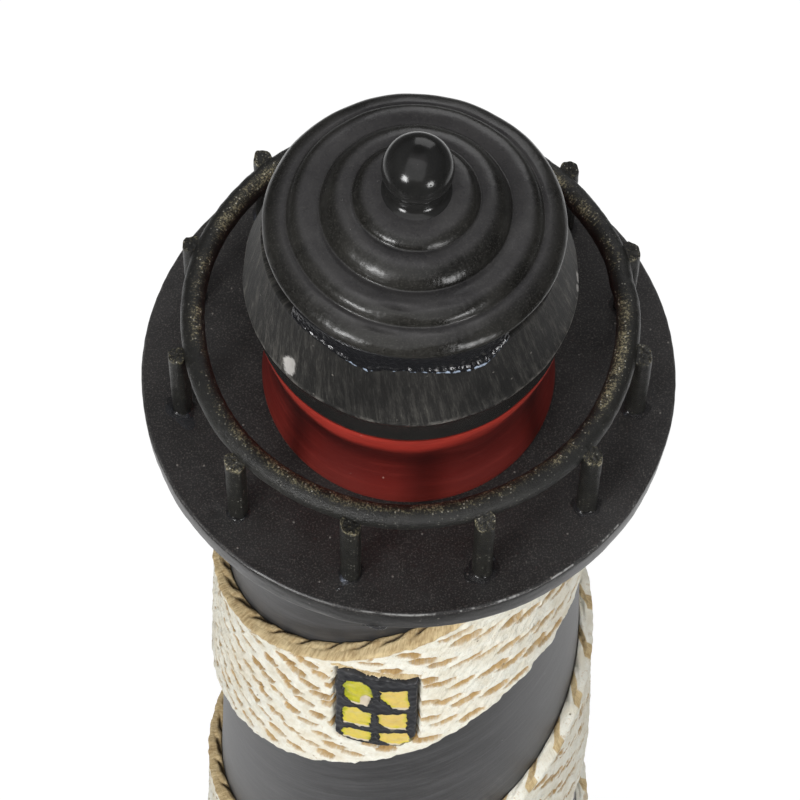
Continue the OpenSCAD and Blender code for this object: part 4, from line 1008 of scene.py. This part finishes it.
cut = p["up"] - p["shorter"] - shorter[post] - slant[post] * radius * np.cos(angle - slantTo[post])
cut = cut + 0.12 * ripple(radius * np.cos(angle), radius * np.sin(angle), 9.0 * post, 1.1, 63)
height = -p["sunk"] + level[row] * (cut + p["sunk"])
centre = p["circle"] - 0.1 - 0.1 * level[row]
px = centre * np.cos(postAngle[post]) + radius * np.cos(angle + postAngle[post])
py = centre * np.sin(postAngle[post]) + radius * np.sin(angle + postAngle[post])
points = np.stack([px, py, deckTop + height], -1)
per = len(level) * p["sides"]
faces = repeated(gridFaces(len(level), p["sides"], wrapColumns=True), per, p["count"])
lids = []
for n in range(p["count"]):
    base = np.arange(p["sides"]) + per * n
    half = p["sides"] // 2
    lids.append(np.stack([base[1:half], base[:half - 1], base[::-1][:half - 1], base[::-1][1:half]], -1))
faces = np.concatenate([faces, *lids])
nearTop = smooth(height, cut - 1.1, cut - 0.2)
sideways = 0.5 + 0.5 * np.cos(angle + 1.3 * post)
high = 0.12 * sideways + 0.95 * nearTop * (0.45 + 0.55 * smooth(inward[row], 0.6, 0.95))
touched = {"high": np.clip(high, 0, 1), "along": height + angle * 1.8}
makePiece("posts", points, faces, bronze, "rail_wire", ["rail_posts"], weld=True, extra=touched, sharp=55)

# Glue round each post's foot: a low ring that climbs the post and spreads on the deck.
footGlue = {"reach": 1.15, "climb": 1.5, "sides": 40}
t = np.linspace(0, 1, 12)
reach = footGlue["reach"] * rng.uniform(0.5, 1.25, p["count"])
climb = footGlue["climb"] * rng.uniform(0.5, 1.3, p["count"])
post, ring, side = np.meshgrid(k, np.arange(len(t)), np.arange(footGlue["sides"]), indexing="ij")
angle = np.linspace(0, 2 * math.pi, footGlue["sides"], endpoint=False)[side]
spread = 1 + 0.25 * np.cos(2 * angle + post) + 0.15 * np.cos(5 * angle + 2.7 * post)
radius = p["radius"] - 0.25 + (reach[post] * spread + 0.25) * t[ring]
height = climb[post] * (0.85 + 0.15 * np.cos(3 * angle + post)) * (1 - t[ring]) ** 2.6 - 0.06 * t[ring]
px = (p["circle"] - 0.1) * np.cos(postAngle[post]) + radius * np.cos(angle)
py = (p["circle"] - 0.1) * np.sin(postAngle[post]) + radius * np.sin(angle)
points = np.stack([px, py, deckTop + height], -1)
lower = points[:, ::-1].copy()
lower[..., 2] = deckTop - 0.3
points = np.concatenate([points, lower], 1)
one = gridFaces(points.shape[1], footGlue["sides"], wrapRows=True, wrapColumns=True, flip=True)
faces = repeated(one, points.shape[1] * footGlue["sides"], p["count"])
makePiece("post_glue", points, faces, footGluePaint, "black_resin")

# Drops of glue: a run beside one post, a smear by another, and a blob under the deck. Each has
# its angle, radius, height over the deck, up direction, half sizes, own height and seed.
dropForm = [
    (-103.2, 42.6, 0.0, (0, 0, 1), (0.6, 1.6), 0.28, 91),
    (-104.4, 44.3, 0.0, (0, 0, 1), (0.35, 0.8), 0.2, 92),
    (-166.0, 41.4, 0.0, (0, 0, 1), (3.4, 2.8), 0.16, 93),
    (-94.4, 46.5, -7.7, (0, -0.75, -0.66), (2.9, 1.3), 0.9, 94),
    (-97.6, 46.3, -7.8, (0, -0.7, -0.7), (1.6, 1.0), 0.7, 95),
]
fronts, facesAll = [], []
for angle, radius, height, upward, wide, high, seed in dropForm:
    around = math.radians(angle)
    place = np.array([radius * math.cos(around), radius * math.sin(around), deckTop + height])
    front, back = blobPoints(place, upward, wide, high, seed)
    both = np.concatenate([front, back[::-1]])
    facesAll.append(gridFaces(*both.shape[:2], wrapColumns=True) + sum(len(b) for b in fronts))
    fronts.append(both.reshape(-1, 3))
points = np.concatenate(fronts)
makePiece("glue_drops", points, np.concatenate(facesAll), dropPaint, "black_resin", weld=True)
print("gallery ready")

# Lit windows: a thick hand-painted frame with six ragged lights. Outlines are in millimetres
# from the window's middle, along the wall and up.
windowForm = {
    "angle": -97.5, "drop": 75.5, "face": 2.5, "pane": 2.1,
    "sheet": (-8.8, 8.8, -16.2, 17.6, 0.16),          # left, right, low, high, step: the frame's grid
    "glass": (-6.9, 7.11, -14.9, 14.4, 0.2),          # the same for the panes' grid
    "frame": [
        (-7.4, 16.6), (2.9, 16.2), (5.8, 15.1), (7.9, 15.9), (7.9, 6.1), (8.0, -9.3), (6.3, -13.1),
        (2.6, -15.2), (-1.0, -15.1), (-5.1, -14.9), (-7.8, -13.0), (-7.7, 7.2), (-8.1, 9.2), (-7.4, 12.1)],
    "lights": [                                       # outline, tone: 0 yellow-green, 1 amber
        ([(-6.0, 10.7), (-5.3, 12.8), (-2.9, 14.0), (-0.7, 11.6), (-0.2, 7.7), (-1.4, 2.7), (-2.8, 3.1),
          (-4.4, 3.5), (-5.7, 4.2)], 0.18),
        ([(0.7, 11.1), (5.8, 12.1), (6.3, 3.2), (4.2, 2.5), (2.5, 4.3), (1.1, 6.5)], 0.70),
        ([(-6.4, -3.3), (-5.7, 0.3), (-3.4, 1.6), (-0.6, -0.5), (-0.8, -7.1), (-2.8, -7.7), (-4.0, -6.9),
          (-5.8, -7.2)], 0.50),
        ([(0.5, -0.1), (5.8, 1.3), (6.0, -7.0), (4.1, -6.1), (2.6, -6.5), (0.6, -4.9)], 0.75),
        ([(-6.4, -12.4), (-5.8, -9.4), (-3.4, -8.6), (-0.5, -9.0), (-0.7, -14.6), (-2.7, -14.3),
          (-4.6, -14.0), (-5.8, -14.1)], 0.50),
        ([(0.7, -9.9), (1.2, -8.5), (6.2, -8.0), (6.6, -13.3), (4.7, -14.2), (2.9, -14.7), (2.5, -13.6),
          (0.9, -12.8)], 0.72),
    ],
    "chip": (-1.4, 4.9, 1.8),                         # bare spot in the first light: along, up, size
}
w = windowForm


# Signed distance from points to a closed outline: how far the nearest edge is, below 0 inside.
def outlineDistance(x, y, outline):
    best = np.full(np.shape(x), 1e9)
    inside = np.zeros(np.shape(x), bool)
    for (ax, ay), (bx, by) in zip(outline, outline[1:] + outline[:1]):
        ex, ey = bx - ax, by - ay
        t = np.clip(((x - ax) * ex + (y - ay) * ey) / (ex * ex + ey * ey), 0, 1)
        best = np.minimum(best, np.hypot(x - ax - t * ex, y - ay - t * ey))
        if ey:
            inside ^= ((ay > y) != (by > y)) & (x < ex * (y - ay) / ey + ax)
    return np.where(inside, -best, best)


# A point on a sheet bent round the wall: the turn is the way along over the radius.
def bent(along, height, out):
    radius = wallRadius(height)
    return spun(radius + out, math.radians(w["angle"]) + along / radius, height)


# Grid of points over a window, the raggedness of its outlines, and the distance of each point
# from each of the six lights.
def windowGrid(left, right, low, high, step):
    x, y = np.meshgrid(np.arange(left, right, step), np.arange(low, high, step))
    ragged = 0.16 * ripple(x, y, 0, 2.2, 101) + 0.07 * ripple(x, y, 0, 0.9, 102)
    return x, y, ragged, np.stack([outlineDistance(x, y, outline) for outline, tone in w["lights"]])


# Frame and panes of one window. The frame's height over the wall is full inside its outline,
# falls to the panes inside each light, and the panes carry their tone from the same outlines.
def buildWindow(prefix, middle, frameNode, paneNode):
    x, y, ragged, lights = windowGrid(*w["sheet"])
    outer = outlineDistance(x, y, w["frame"]) + 0.6 * ragged
    light = lights.min(0) + ragged
    rise = smooth(-outer, -0.1, 0.55) ** 0.7
    dip = smooth(-light, -0.15, 0.22)
    out = w["face"] * rise - (w["face"] - w["pane"] + 0.35) * dip + 0.05 * ripple(x, y, 0, 2.6, 103) * rise
    out = out + 0.12 * (1 - smooth(np.abs(light - 0.1), 0.0, 0.5)) * rise
    front = bent(x, middle + y, out).reshape(-1, 3)
    back = bent(x, middle + y, -0.1).reshape(-1, 3)
    faces = gridFaces(*x.shape)
    inner = (light < -0.75).ravel()[faces].all(1)
    outside = (outer > 0.12).ravel()[faces].any(1)
    faces = faces[~(inner | outside)]
    points, faces = closedShell(front, back, faces)
    makePiece(prefix + "_window_frame", points, faces, windowPaint, "charcoal_resin", [frameNode])

    x, y, ragged, lights = windowGrid(*w["glass"])
    nearest = lights.argmin(0)
    light = lights.min(0) + ragged
    tones = np.array([tone for outline, tone in w["lights"]])[nearest]
    rim = 1 - smooth(-light, 0.1, 1.1)
    tone = tones - 0.42 * rim * (0.7 + 0.5 * ripple(x, y, 0, 3.0, 104))
    base = np.array([min(q[1] for q in outline) for outline, tone in w["lights"]])[nearest]
    sill = 1 - smooth(y - base, 0.6, 1.7)
    chipX, chipY, chipSize = w["chip"]
    chip = 1 - smooth(np.hypot(x - chipX, (y - chipY) * 0.8), chipSize * 0.6, chipSize)
    pale = np.clip(0.85 * sill + 1.2 * chip, 0, 1)
    shade = 1 - smooth(-light, -0.1, 0.28)
    out = w["pane"] + 0.10 * ripple(x, y, 0, 3.4, 105) + 0.05 * ripple(x, y, 0, 1.3, 106)
    out = out + 0.25 * sill - 0.2 * chip
    front = bent(x, middle + y, out).reshape(-1, 3)
    back = bent(x, middle + y, -1.0).reshape(-1, 3)
    points, faces = closedShell(front, back, gridFaces(*x.shape))
    shades = {"tone": tone, "pale": pale, "shade": shade}
    shades = {key: np.concatenate([value.ravel(), value.ravel()]) for key, value in shades.items()}
    makePiece(prefix + "_window_panes", points, faces, amber, "amber_resin", [paneNode], extra=shades)


# Band of plaited rope relief, climbing round the tower.
bandForm = {
    "width": 55.0,                                    # edge to edge, up the wall
    "drop": 44.5, "front": -93.0, "low": 110.5, "high": 117.0, "from": -480.0, "to": -110.0,
    "sway": 10.5, "swayTo": 24.0,
    "rise": 2.55,                                     # height of the strands over the wall
    "roll": 3.0,                                      # height of the rolled upper edge
    "groove": 1.8,                                    # depth of the hollows
    "row": 4.7, "cell": 6.1, "cellRight": 8.4,        # height of a row of hollows, length of a cell
    "tilt": 0.62, "tiltRight": 0.42,                  # how fast a hollow runs down from the upper edge
    "step": 0.36, "across": 150,                      # grid along and across, mm and points
    "leaf": 6.0,                                      # length of a lump of the upper edge
    "strand": 8.6, "strandSlant": 0.40,               # pale strands that cross the top face
    "tooth": 11.0, "toothFrom": -37.2,                # degrees from one stair of the lower edge to the next
    "trim": 2.3, "firstRow": 3.0,                     # mm cut off below, and down to the first row
}
b = bandForm


# Climb of the band: low per turn near the foot, high per turn from the blend's end on, eased
# between the two as t cubed minus half of t to the fourth.
def climbOf(angle):
    t = (angle - b["from"]) / (b["to"] - b["from"])
    ease = np.where(t < 0, 0, np.where(t > 1, t - 0.5, t ** 3 - t ** 4 / 2))
    return b["low"] * angle / 360 + (b["high"] - b["low"]) * (b["to"] - b["from"]) / 360 * ease


# Sway: one cosine wave a turn, steeper at the front than behind.
def swayOf(angle):
    return b["sway"] * np.cos(np.radians(angle - b["swayTo"]))


# Height of the band's upper edge: its climb and its sway, both counted from the front.
def bandTop(angle):
    return deckTop - b["drop"] + climbOf(angle) - climbOf(b["front"]) + swayOf(angle) - swayOf(b["front"])


# Lower edge of the band, trimmed by a few millimetres: strand ends stand out of it like
# rounded stairs, a saw wave whose teeth have each their own size.
def lowerTrim(angle):
    tooth = (angle - b["toothFrom"]) / b["tooth"]
    n = np.ceil(tooth)
    part = tooth - n + 1
    end = n * b["tooth"] + b["toothFrom"]
    size = 0.7 + 0.5 * dice(n, 0, 3) + 2.3 * np.exp(-((end - b["toothFrom"]) / 7) ** 2)
    size = size * np.where((end > -110) & (end < 40), 1.0, 0.75)
    saw = size * (0.5 - part) + size * (1 - smooth(part, 0.0, 0.16)) * -0.9 + size * 0.07
    return b["trim"] + 0.9 * np.exp(-((angle + 68) / 13) ** 2) + saw


# Hollows of the rope: rows of cells set like bricks. A hollow lies between two arched lines,
# tilted against its row; it is deepest along its upper line and fades out at its lower one.
def ropeRelief(cellPosition, cellLength, tilt, down, top):
    row = (down - top) / b["row"]
    baseRow = np.floor(row)
    depth = np.zeros(down.shape)
    wash = np.zeros(down.shape)
    lip = np.zeros(down.shape)
    for dn in (-1, 0, 1):
        n = baseRow + dn
        shift = 0.5 * (n % 2) + 0.16 * np.sin(n * 12.9)
        baseCell = np.floor(cellPosition + shift)
        for dm in (-1, 0, 1):
            m = baseCell + dm
            slip = 0.26 * (dice(m, n, 5) - 0.5)
            u = cellPosition + shift - m - 0.5 - slip
            run = u * cellLength
            lower = (dice(m, n, 9) - 0.5) * 1.2
            lean = tilt * (0.85 + 0.3 * dice(m, n, 14))
            dw = down - top - (n + 0.5) * b["row"] - lean * run - lower
            reach = 0.33 + 0.12 * dice(m, n, 7)
            bow = np.clip(1 - (np.abs(u) / reach) ** 2.4, 0, 1) ** 0.8
            size = 0.7 + 0.6 * dice(m, n, 11)
            upper = -0.29 * b["row"] * bow * size
            under = 0.29 * b["row"] * bow * size
            inside = (dw > upper) & (dw < under) & (bow > 0.02)
            q = np.clip((dw - upper) / np.maximum(under - upper, 1e-3), 0, 1)
            cliff = np.clip((dw - upper) / 0.38, 0, 1)
            weight = np.minimum(1, bow * 2.2)
            depth = np.maximum(depth, np.where(inside, cliff * (1 - q) ** 0.65 * weight, 0))
            stain = np.where(inside, 1.08 - 0.62 * q, 0) * weight
            below = np.where((dw >= under) & (bow > 0.02), 0.42 * np.exp(-(dw - under) / 0.75) * weight, 0)
            wash = np.maximum(wash, np.maximum(stain, below))
            raised = np.exp(-((dw - upper + 0.55) / 0.6) ** 2) * weight
            lip = np.maximum(lip, np.where(dw < upper + 0.15, raised, 0))
    return depth, wash, lip


# The band runs from where its upper edge leaves the tower's foot to where its lower one has
# passed the top.
firstAngle = max(a for a in range(-1800, int(b["front"]), 2) if float(bandTop(float(a))) < towerLow - 1)
lastAngle = min(a for a in range(int(b["front"]), 1200)
                if float(bandTop(float(a))) - b["width"] > towerTop + 1)
meanRadius = (wallFoot + wallHead) / 2
columns = int(math.radians(lastAngle - firstAngle) * meanRadius / b["step"]) // 4 * 4 + 1
bandTurn = np.linspace(firstAngle, lastAngle, columns)
middleRadius = wallRadius(np.clip(bandTop(bandTurn) - 25, towerLow, towerTop))
bandRight = plateau(bandTurn, -97, -72, 0, 40)
bandCell = b["cell"] + (b["cellRight"] - b["cell"]) * bandRight
bandAlong = np.concatenate([[0], np.cumsum(np.diff(np.radians(bandTurn)) * middleRadius[1:])])
bandCells = np.concatenate([[0], np.cumsum(np.diff(bandAlong) / bandCell[1:])])
entryForm = {"halfWide": 11.25, "top": towerLow + 38.2}       # the band stops behind the entry
windowUp = deckTop - w["drop"]
windowDown = windowUp - float(climbOf(w["angle"]) - climbOf(w["angle"] - 360))


# Surface of the band between two columns: the wall's radius plus a thickness that the relief,
# the rolled upper edge and the lower edge give; it sinks to the wall round the windows.
def buildBand(first, last):
    part = slice(first, last + 1)
    angle = bandTurn[part][:, None]
    width = b["width"] - lowerTrim(angle)
    down = np.linspace(0, 1, b["across"])[None, :] * width
    along = bandAlong[part][:, None]
    z = bandTop(angle) + 0.22 * ripple(along, 0, 0, 13, 74) - down
    tilt = b["tilt"] + (b["tiltRight"] - b["tilt"]) * bandRight[part][:, None]
    drift = 0.5 * ripple(along, down, 0, 17.0, 71)
    cells = bandCells[part][:, None], bandCell[part][:, None]
    depth, wash, lip = ropeRelief(*cells, tilt, down + drift, b["firstRow"])
    # Nothing is hollow on the rolled upper edge and on the smooth strand along the lower one.
    upperSide = smooth(down, 1.8, 3.4)
    lowerSide = 1 - smooth(down, width - 2.6, width - 1.7)
    depth = depth * upperSide * lowerSide
    wash = wash * (0.25 + 0.75 * upperSide) * lowerSide
    lip = lip * upperSide * lowerSide
    rough = 0.09 * ripple(along, down, 0, 2.9, 72) + 0.05 * ripple(along, down, 0, 1.25, 73)
    thick = b["rise"] + (b["roll"] - b["rise"]) * (1 - smooth(down, 1.5, 4.0))
    thick = thick - b["groove"] * depth + 0.28 * lip + rough
    # The upper edge rolls over with leaf-like lumps, nicked where one lies over the next.
    leafAt = along / b["leaf"] + 0.10 * down + 0.12 * np.sin(along * 0.9)
    leafPart = leafAt - np.floor(leafAt)
    leafHump = np.sin(math.pi * np.clip(leafPart, 0, 1)) ** 0.7
    roll = np.clip(1 - down / 1.5, 0, 1)
    thick = thick - 1.0 * roll ** 2.2 + 0.22 * (leafHump - 0.6) * (1 - smooth(down, 0.6, 3.2))
    border = np.clip(1 - (width - down) / 1.6, 0, 1)
    thick = thick - 1.5 * border ** 2.4 + 0.12 * (1 - lowerSide)
    # Round each window the band sinks to the wall; above it the lintel is scooped out.
    facing = (angle - w["angle"] + 180) % 360 - 180
    aroundWall = np.radians(facing) * wallRadius(z)
    scoop = np.zeros(down.shape)
    torn = np.zeros(down.shape)
    gone = np.zeros(down.shape, bool)
    for middle in (windowUp, windowDown):
        away = outlineDistance(aroundWall, z - middle, w["frame"])
        away = away + 0.15 * ripple(aroundWall, z, 0, 2.0, 75)
        near = (np.abs(aroundWall) < 14) & (np.abs(z - middle) < 24)
        away = np.where(near, away, 9.0)
        above = near & (z - middle > 13.5) & (np.abs(aroundWall + 0.2) < 7.8 + 0.4 * np.sin(z * 2))
        scoop = np.maximum(scoop, np.where(above, 1 - smooth(away, 2.2, 3.4), 0))
        torn = np.maximum(torn, np.where(above, 1 - smooth(away, 0.35, 0.75), 0))
        free = smooth(away, 0.0, 0.45)
        thick = thick * free + 0.05 * (1 - free)
        gone |= away < -0.9
    thick = thick - (0.55 * scoop - 0.35 * torn) * smooth(thick, 0.5, 2.0)
    wash = wash * (1 - scoop)
    r = wallRadius(z) + np.maximum(thick, 0.04)

    # Top face of the band, from the wall out to the rolled edge, in the same leaves.
    t = np.linspace(0, 1, 13)[None, :-1]
    right = plateau((angle + 180) % 360 - 180, -82, -60, 60, 90)
    leafTop = along / b["leaf"] + 0.12 * np.sin(along * 0.9) - 0.75 * (1 - t)
    leafTopPart = leafTop - np.floor(leafTop)
    seam = np.minimum(leafTopPart, 1 - leafTopPart)
    nick = (1 - smooth(seam, 0.03, 0.22)) * (1 - smooth(t, 0.40, 0.92)) * (1 - 0.7 * right)
    swell = np.sin(math.pi * leafTopPart) ** 0.6 * (1.3 - 0.8 * leafTopPart)
    # On the right side pale strands cross the top face at a slant.
    strandAt = along / b["strand"] - b["strandSlant"] * (1 - t)
    strand = right * smooth(np.cos(2 * math.pi * strandAt), -0.86, -0.30)
    topOut = t * (r[:, :1] - wallRadius(z[:, :1])) + 0.04
    topUp = 0.55 * np.sin(math.pi * np.clip(t * 0.85 + 0.12, 0, 1)) + 0.75 * (swell - 0.4)
    topUp = (topUp - 0.75 * nick + 0.35 * strand) * (1 - t ** 4)
    topZ = z[:, :1] + topUp + 0.08 * ripple(along, t * 6, 0, 1.4, 76)
    topZ[:, 0] = z[:, 0] + 0.1 - 0.4 * nick[:, 0]
    topR = wallRadius(topZ) + topOut
    lowZ = z[:, -1:] - 0.02
    backR = np.concatenate([wallRadius(lowZ) + 0.02, wallRadius(z[:, :1]) + 0.01], 1)
    backZ = np.concatenate([lowZ, z[:, :1] - 0.3], 1)
    radius = np.concatenate([topR, r, backR], 1)
    height = np.concatenate([topZ, z, backZ], 1)
    gone = np.concatenate([np.zeros(topR.shape, bool), gone, np.zeros(backR.shape, bool)], 1)
    zero = np.zeros(backR.shape)
    tan = 1 - smooth(down + 0.5 * ripple(along, down, 0, 5, 77), 0.9, 2.9)
    tan = np.maximum(tan, scoop * (1 - torn))
    # Painted shade on the top face: dark in the nicks, over the back half of each leaf and between the
    # strands on the right side.
    dark = np.maximum(nick, 0.85 * smooth(leafTopPart, 0.5, 1.0) * (1 - 0.55 * t) * (1 - strand))
    dark = np.maximum(dark, 0.5 * right * (1 - strand))
    shades = {
        "wash": np.concatenate([0 * topR, wash, zero], 1),
        "ledge": np.concatenate([1 - strand, tan * (1 - strand[:, -1:]), zero], 1),
        "deep": np.concatenate([dark, 0 * wash, zero], 1),
        "along": np.concatenate([along + 0 * topR, along + 0 * down, zero], 1),
        "down": np.concatenate([-3.0 * (1 - t) + 0 * topR, down, zero], 1),
    }
    # What lies past the tower's top or foot, or behind the entry, folds flat on the wall.
    turn = np.radians(angle)
    behindEntry = (np.cos(turn + math.pi / 2) > 0.5) & (height < entryForm["top"])
    behindEntry = behindEntry & (np.abs(radius * np.cos(turn)) < entryForm["halfWide"])
    off = (height > towerTop) | (height < towerLow + 0.1) | behindEntry
    height = np.clip(height, towerLow + 0.1, towerTop - 0.02)
    radius = np.where(off, wallRadius(height) + 0.03, radius)
    gone = gone | off
    return spun(radius, turn, height), gone, shades


buildWindow("upper", windowUp, "upper_window_frame", "upper_window_panes")
buildWindow("lower", windowDown, "lower_window_frame", "lower_window_panes")
print("windows ready")
quarter = (columns - 1) // 4
for n in range(4):
    points, gone, shades = buildBand(n * quarter, (n + 1) * quarter)
    faces = gridFaces(*points.shape[:2], wrapColumns=True, flip=True)
    faces = faces[~gone.ravel()[faces].all(1)]
    makePiece("rope_band_%d" % (n + 1), points, faces, rope, "rope_resin", ["rope_band"], extra=shades)
print("band ready")

# Floor: pale, a soft shadow stays on it, and it shows white to the eye and in reflections.
floorForm = {"half": 6.0, "plain": 0.88, "glow": 1.09}
corners = np.array([[-1, -1, 0], [1, -1, 0], [1, 1, 0], [-1, 1, 0]]) * floorForm["half"]
floorMesh = bpy.data.meshes.new("floor")
floorMesh.from_pydata((corners - [0, 0, 0.0002]).tolist(), [], [[0, 1, 2, 3]])
newObject("floor", floorMesh)
pale = Finish("paleFloor", Roughness=0.9)
pale.set(Base_Color=pale.mix(pale.noise(3, 2), (0.80, 0.80, 0.80), (0.82, 0.82, 0.82)))

seen = pale.node("LightPath", out="Is Camera Ray")
mirrored = pale.node("LightPath", out="Is Glossy Ray")
front = 0 - pale.parts(pale.place)[1]
away = pale.distance(pale.place, (0.0, 0.0, 0.0))
inFront = front.clip(0.04, 0.13) * 0.88 + front.clip(0.22, 0.42) * 0.08
dim = 1 - (1 - inFront) * (1 - away.clip(0.35, 0.9) * 0.9)
level = pale.mix(mirrored * dim, (1.0, 1.0, 1.0), (0.0, 0.0, 0.0))
glow = pale.node("Emission", None, [level, floorForm["glow"]])
shown = pale.node("MixShader", None, [seen * floorForm["plain"] + mirrored, pale.shader, glow])
pale.feed(pale.end.inputs[0], shown)
floorMesh.materials.append(pale.material)

# Studio: soft grey sky that is white to the camera, paler overhead, and four lamps.
studio = {
    "low": (0.07, 0.068, 0.066), "sky": (0.22, 0.22, 0.225), "zenith": (0.54, 0.52, 0.54),
    "behind": (0.065, 0.062, 0.065), "front": (0.050, 0.040, 0.034),
    "lamps": [                                        # name, place, target, size, power, in metres and watts
        ("leftBox", (-0.78, -0.92, 0.66), (0, 0, 0.34), (0.34, 0.30), 8.4),
        ("rightBox", (0.72, -1.00, 0.32), (0, 0, 0.34), (0.34, 0.30), 5.0),
        ("topBox", (-0.2, -0.9, 1.5), (0, 0, 0.2), (1.9, 1.9), 9.0),
        ("backBox", (0.3, 1.2, 0.9), (0, 0, 0.2), (1.0, 0.8), 4.0),
    ],
}
world = bpy.data.worlds.new("studio")
bpy.context.scene.world = world
world.use_nodes = True
sky = Nodes(world.node_tree)
way = sky.node("TexCoord", out="Generated")
wayY, wayZ = sky.parts(way)[1:]
tone = sky.mix(wayZ.clip(0.05, 0.6), studio["low"], studio["sky"])
tone = sky.mix(sky.toward(way, (0.0, -0.10, 0.995)).clip(0.80, 0.98), tone, studio["zenith"])
tone = sky.mix(sky.toward(way, (0.0, 0.47, 0.883)).clip(0.90, 0.99), tone, studio["behind"])
tone = sky.mix((0 - wayY).clip(0.35, 0.8) * (1 - wayZ.clip(0.15, 0.6)) * 0.8, tone, studio["front"])
lit = sky.node("Background", None, [tone, 1.0])
white = sky.node("Background", None, [(1.0, 1.0, 1.0), 1.0])
pick = sky.node("MixShader", None, [sky.node("LightPath", out="Is Camera Ray"), lit, white])
sky.node("OutputWorld", None, [pick])


# Stands an object at its place: its x points to the side, its y above and its z against the look.
def stand(obj, place, side, above, look):
    rows = np.stack([side, above, -look, place], -1)
    obj.matrix_world = Matrix([*rows.tolist(), [0, 0, 0, 1]])


# Turns an object so that it looks from its place at its target, its top side upward.
def aim(obj, place, target):
    place = np.array(place, float)
    look = np.array(target, float) - place
    look = look / np.linalg.norm(look)
    side = np.cross(look, [0, 0, 1.0])
    side = side / np.linalg.norm(side)
    stand(obj, place, side, np.cross(side, look), look)


for name, place, target, size, power in studio["lamps"]:
    lamp = bpy.data.lights.new(name, "AREA")
    lamp.shape = "RECTANGLE"
    lamp.size, lamp.size_y = size
    lamp.energy = power
    aim(newObject(name, lamp), place, target)

# The camera stands in front, looking steeply down, turned by yaw and rolled a little.
cameraForm = {
    "away": 13.3 * deckRadius, "down": 63.8, "yaw": -0.29, "roll": 1.2, "shift": -0.264 * deckRadius,
    "lens": 157.5,
}
c = cameraForm
down, yaw, roll = (math.radians(c[key]) for key in ("down", "yaw", "roll"))
forward = np.array([math.sin(yaw) * math.cos(down), math.cos(yaw) * math.cos(down), -math.sin(down)])
right = np.array([math.cos(yaw), -math.sin(yaw), 0.0])
above = np.cross(right, forward)
place = [0, -c["away"] * math.cos(down), deckTop + c["away"] * math.sin(down) + c["shift"]]
lens = bpy.data.cameras.new("camera")
lens.lens = c["lens"]
lens.sensor_width = 36
lens.clip_end = 30
camera = newObject("camera", lens)
side = math.cos(roll) * right + math.sin(roll) * above
above = -math.sin(roll) * right + math.cos(roll) * above
stand(camera, np.array(place) * mm, side, above, forward)
bpy.context.scene.camera = camera
bpy.context.scene.view_settings.view_transform = "Standard"

print("stage ready")
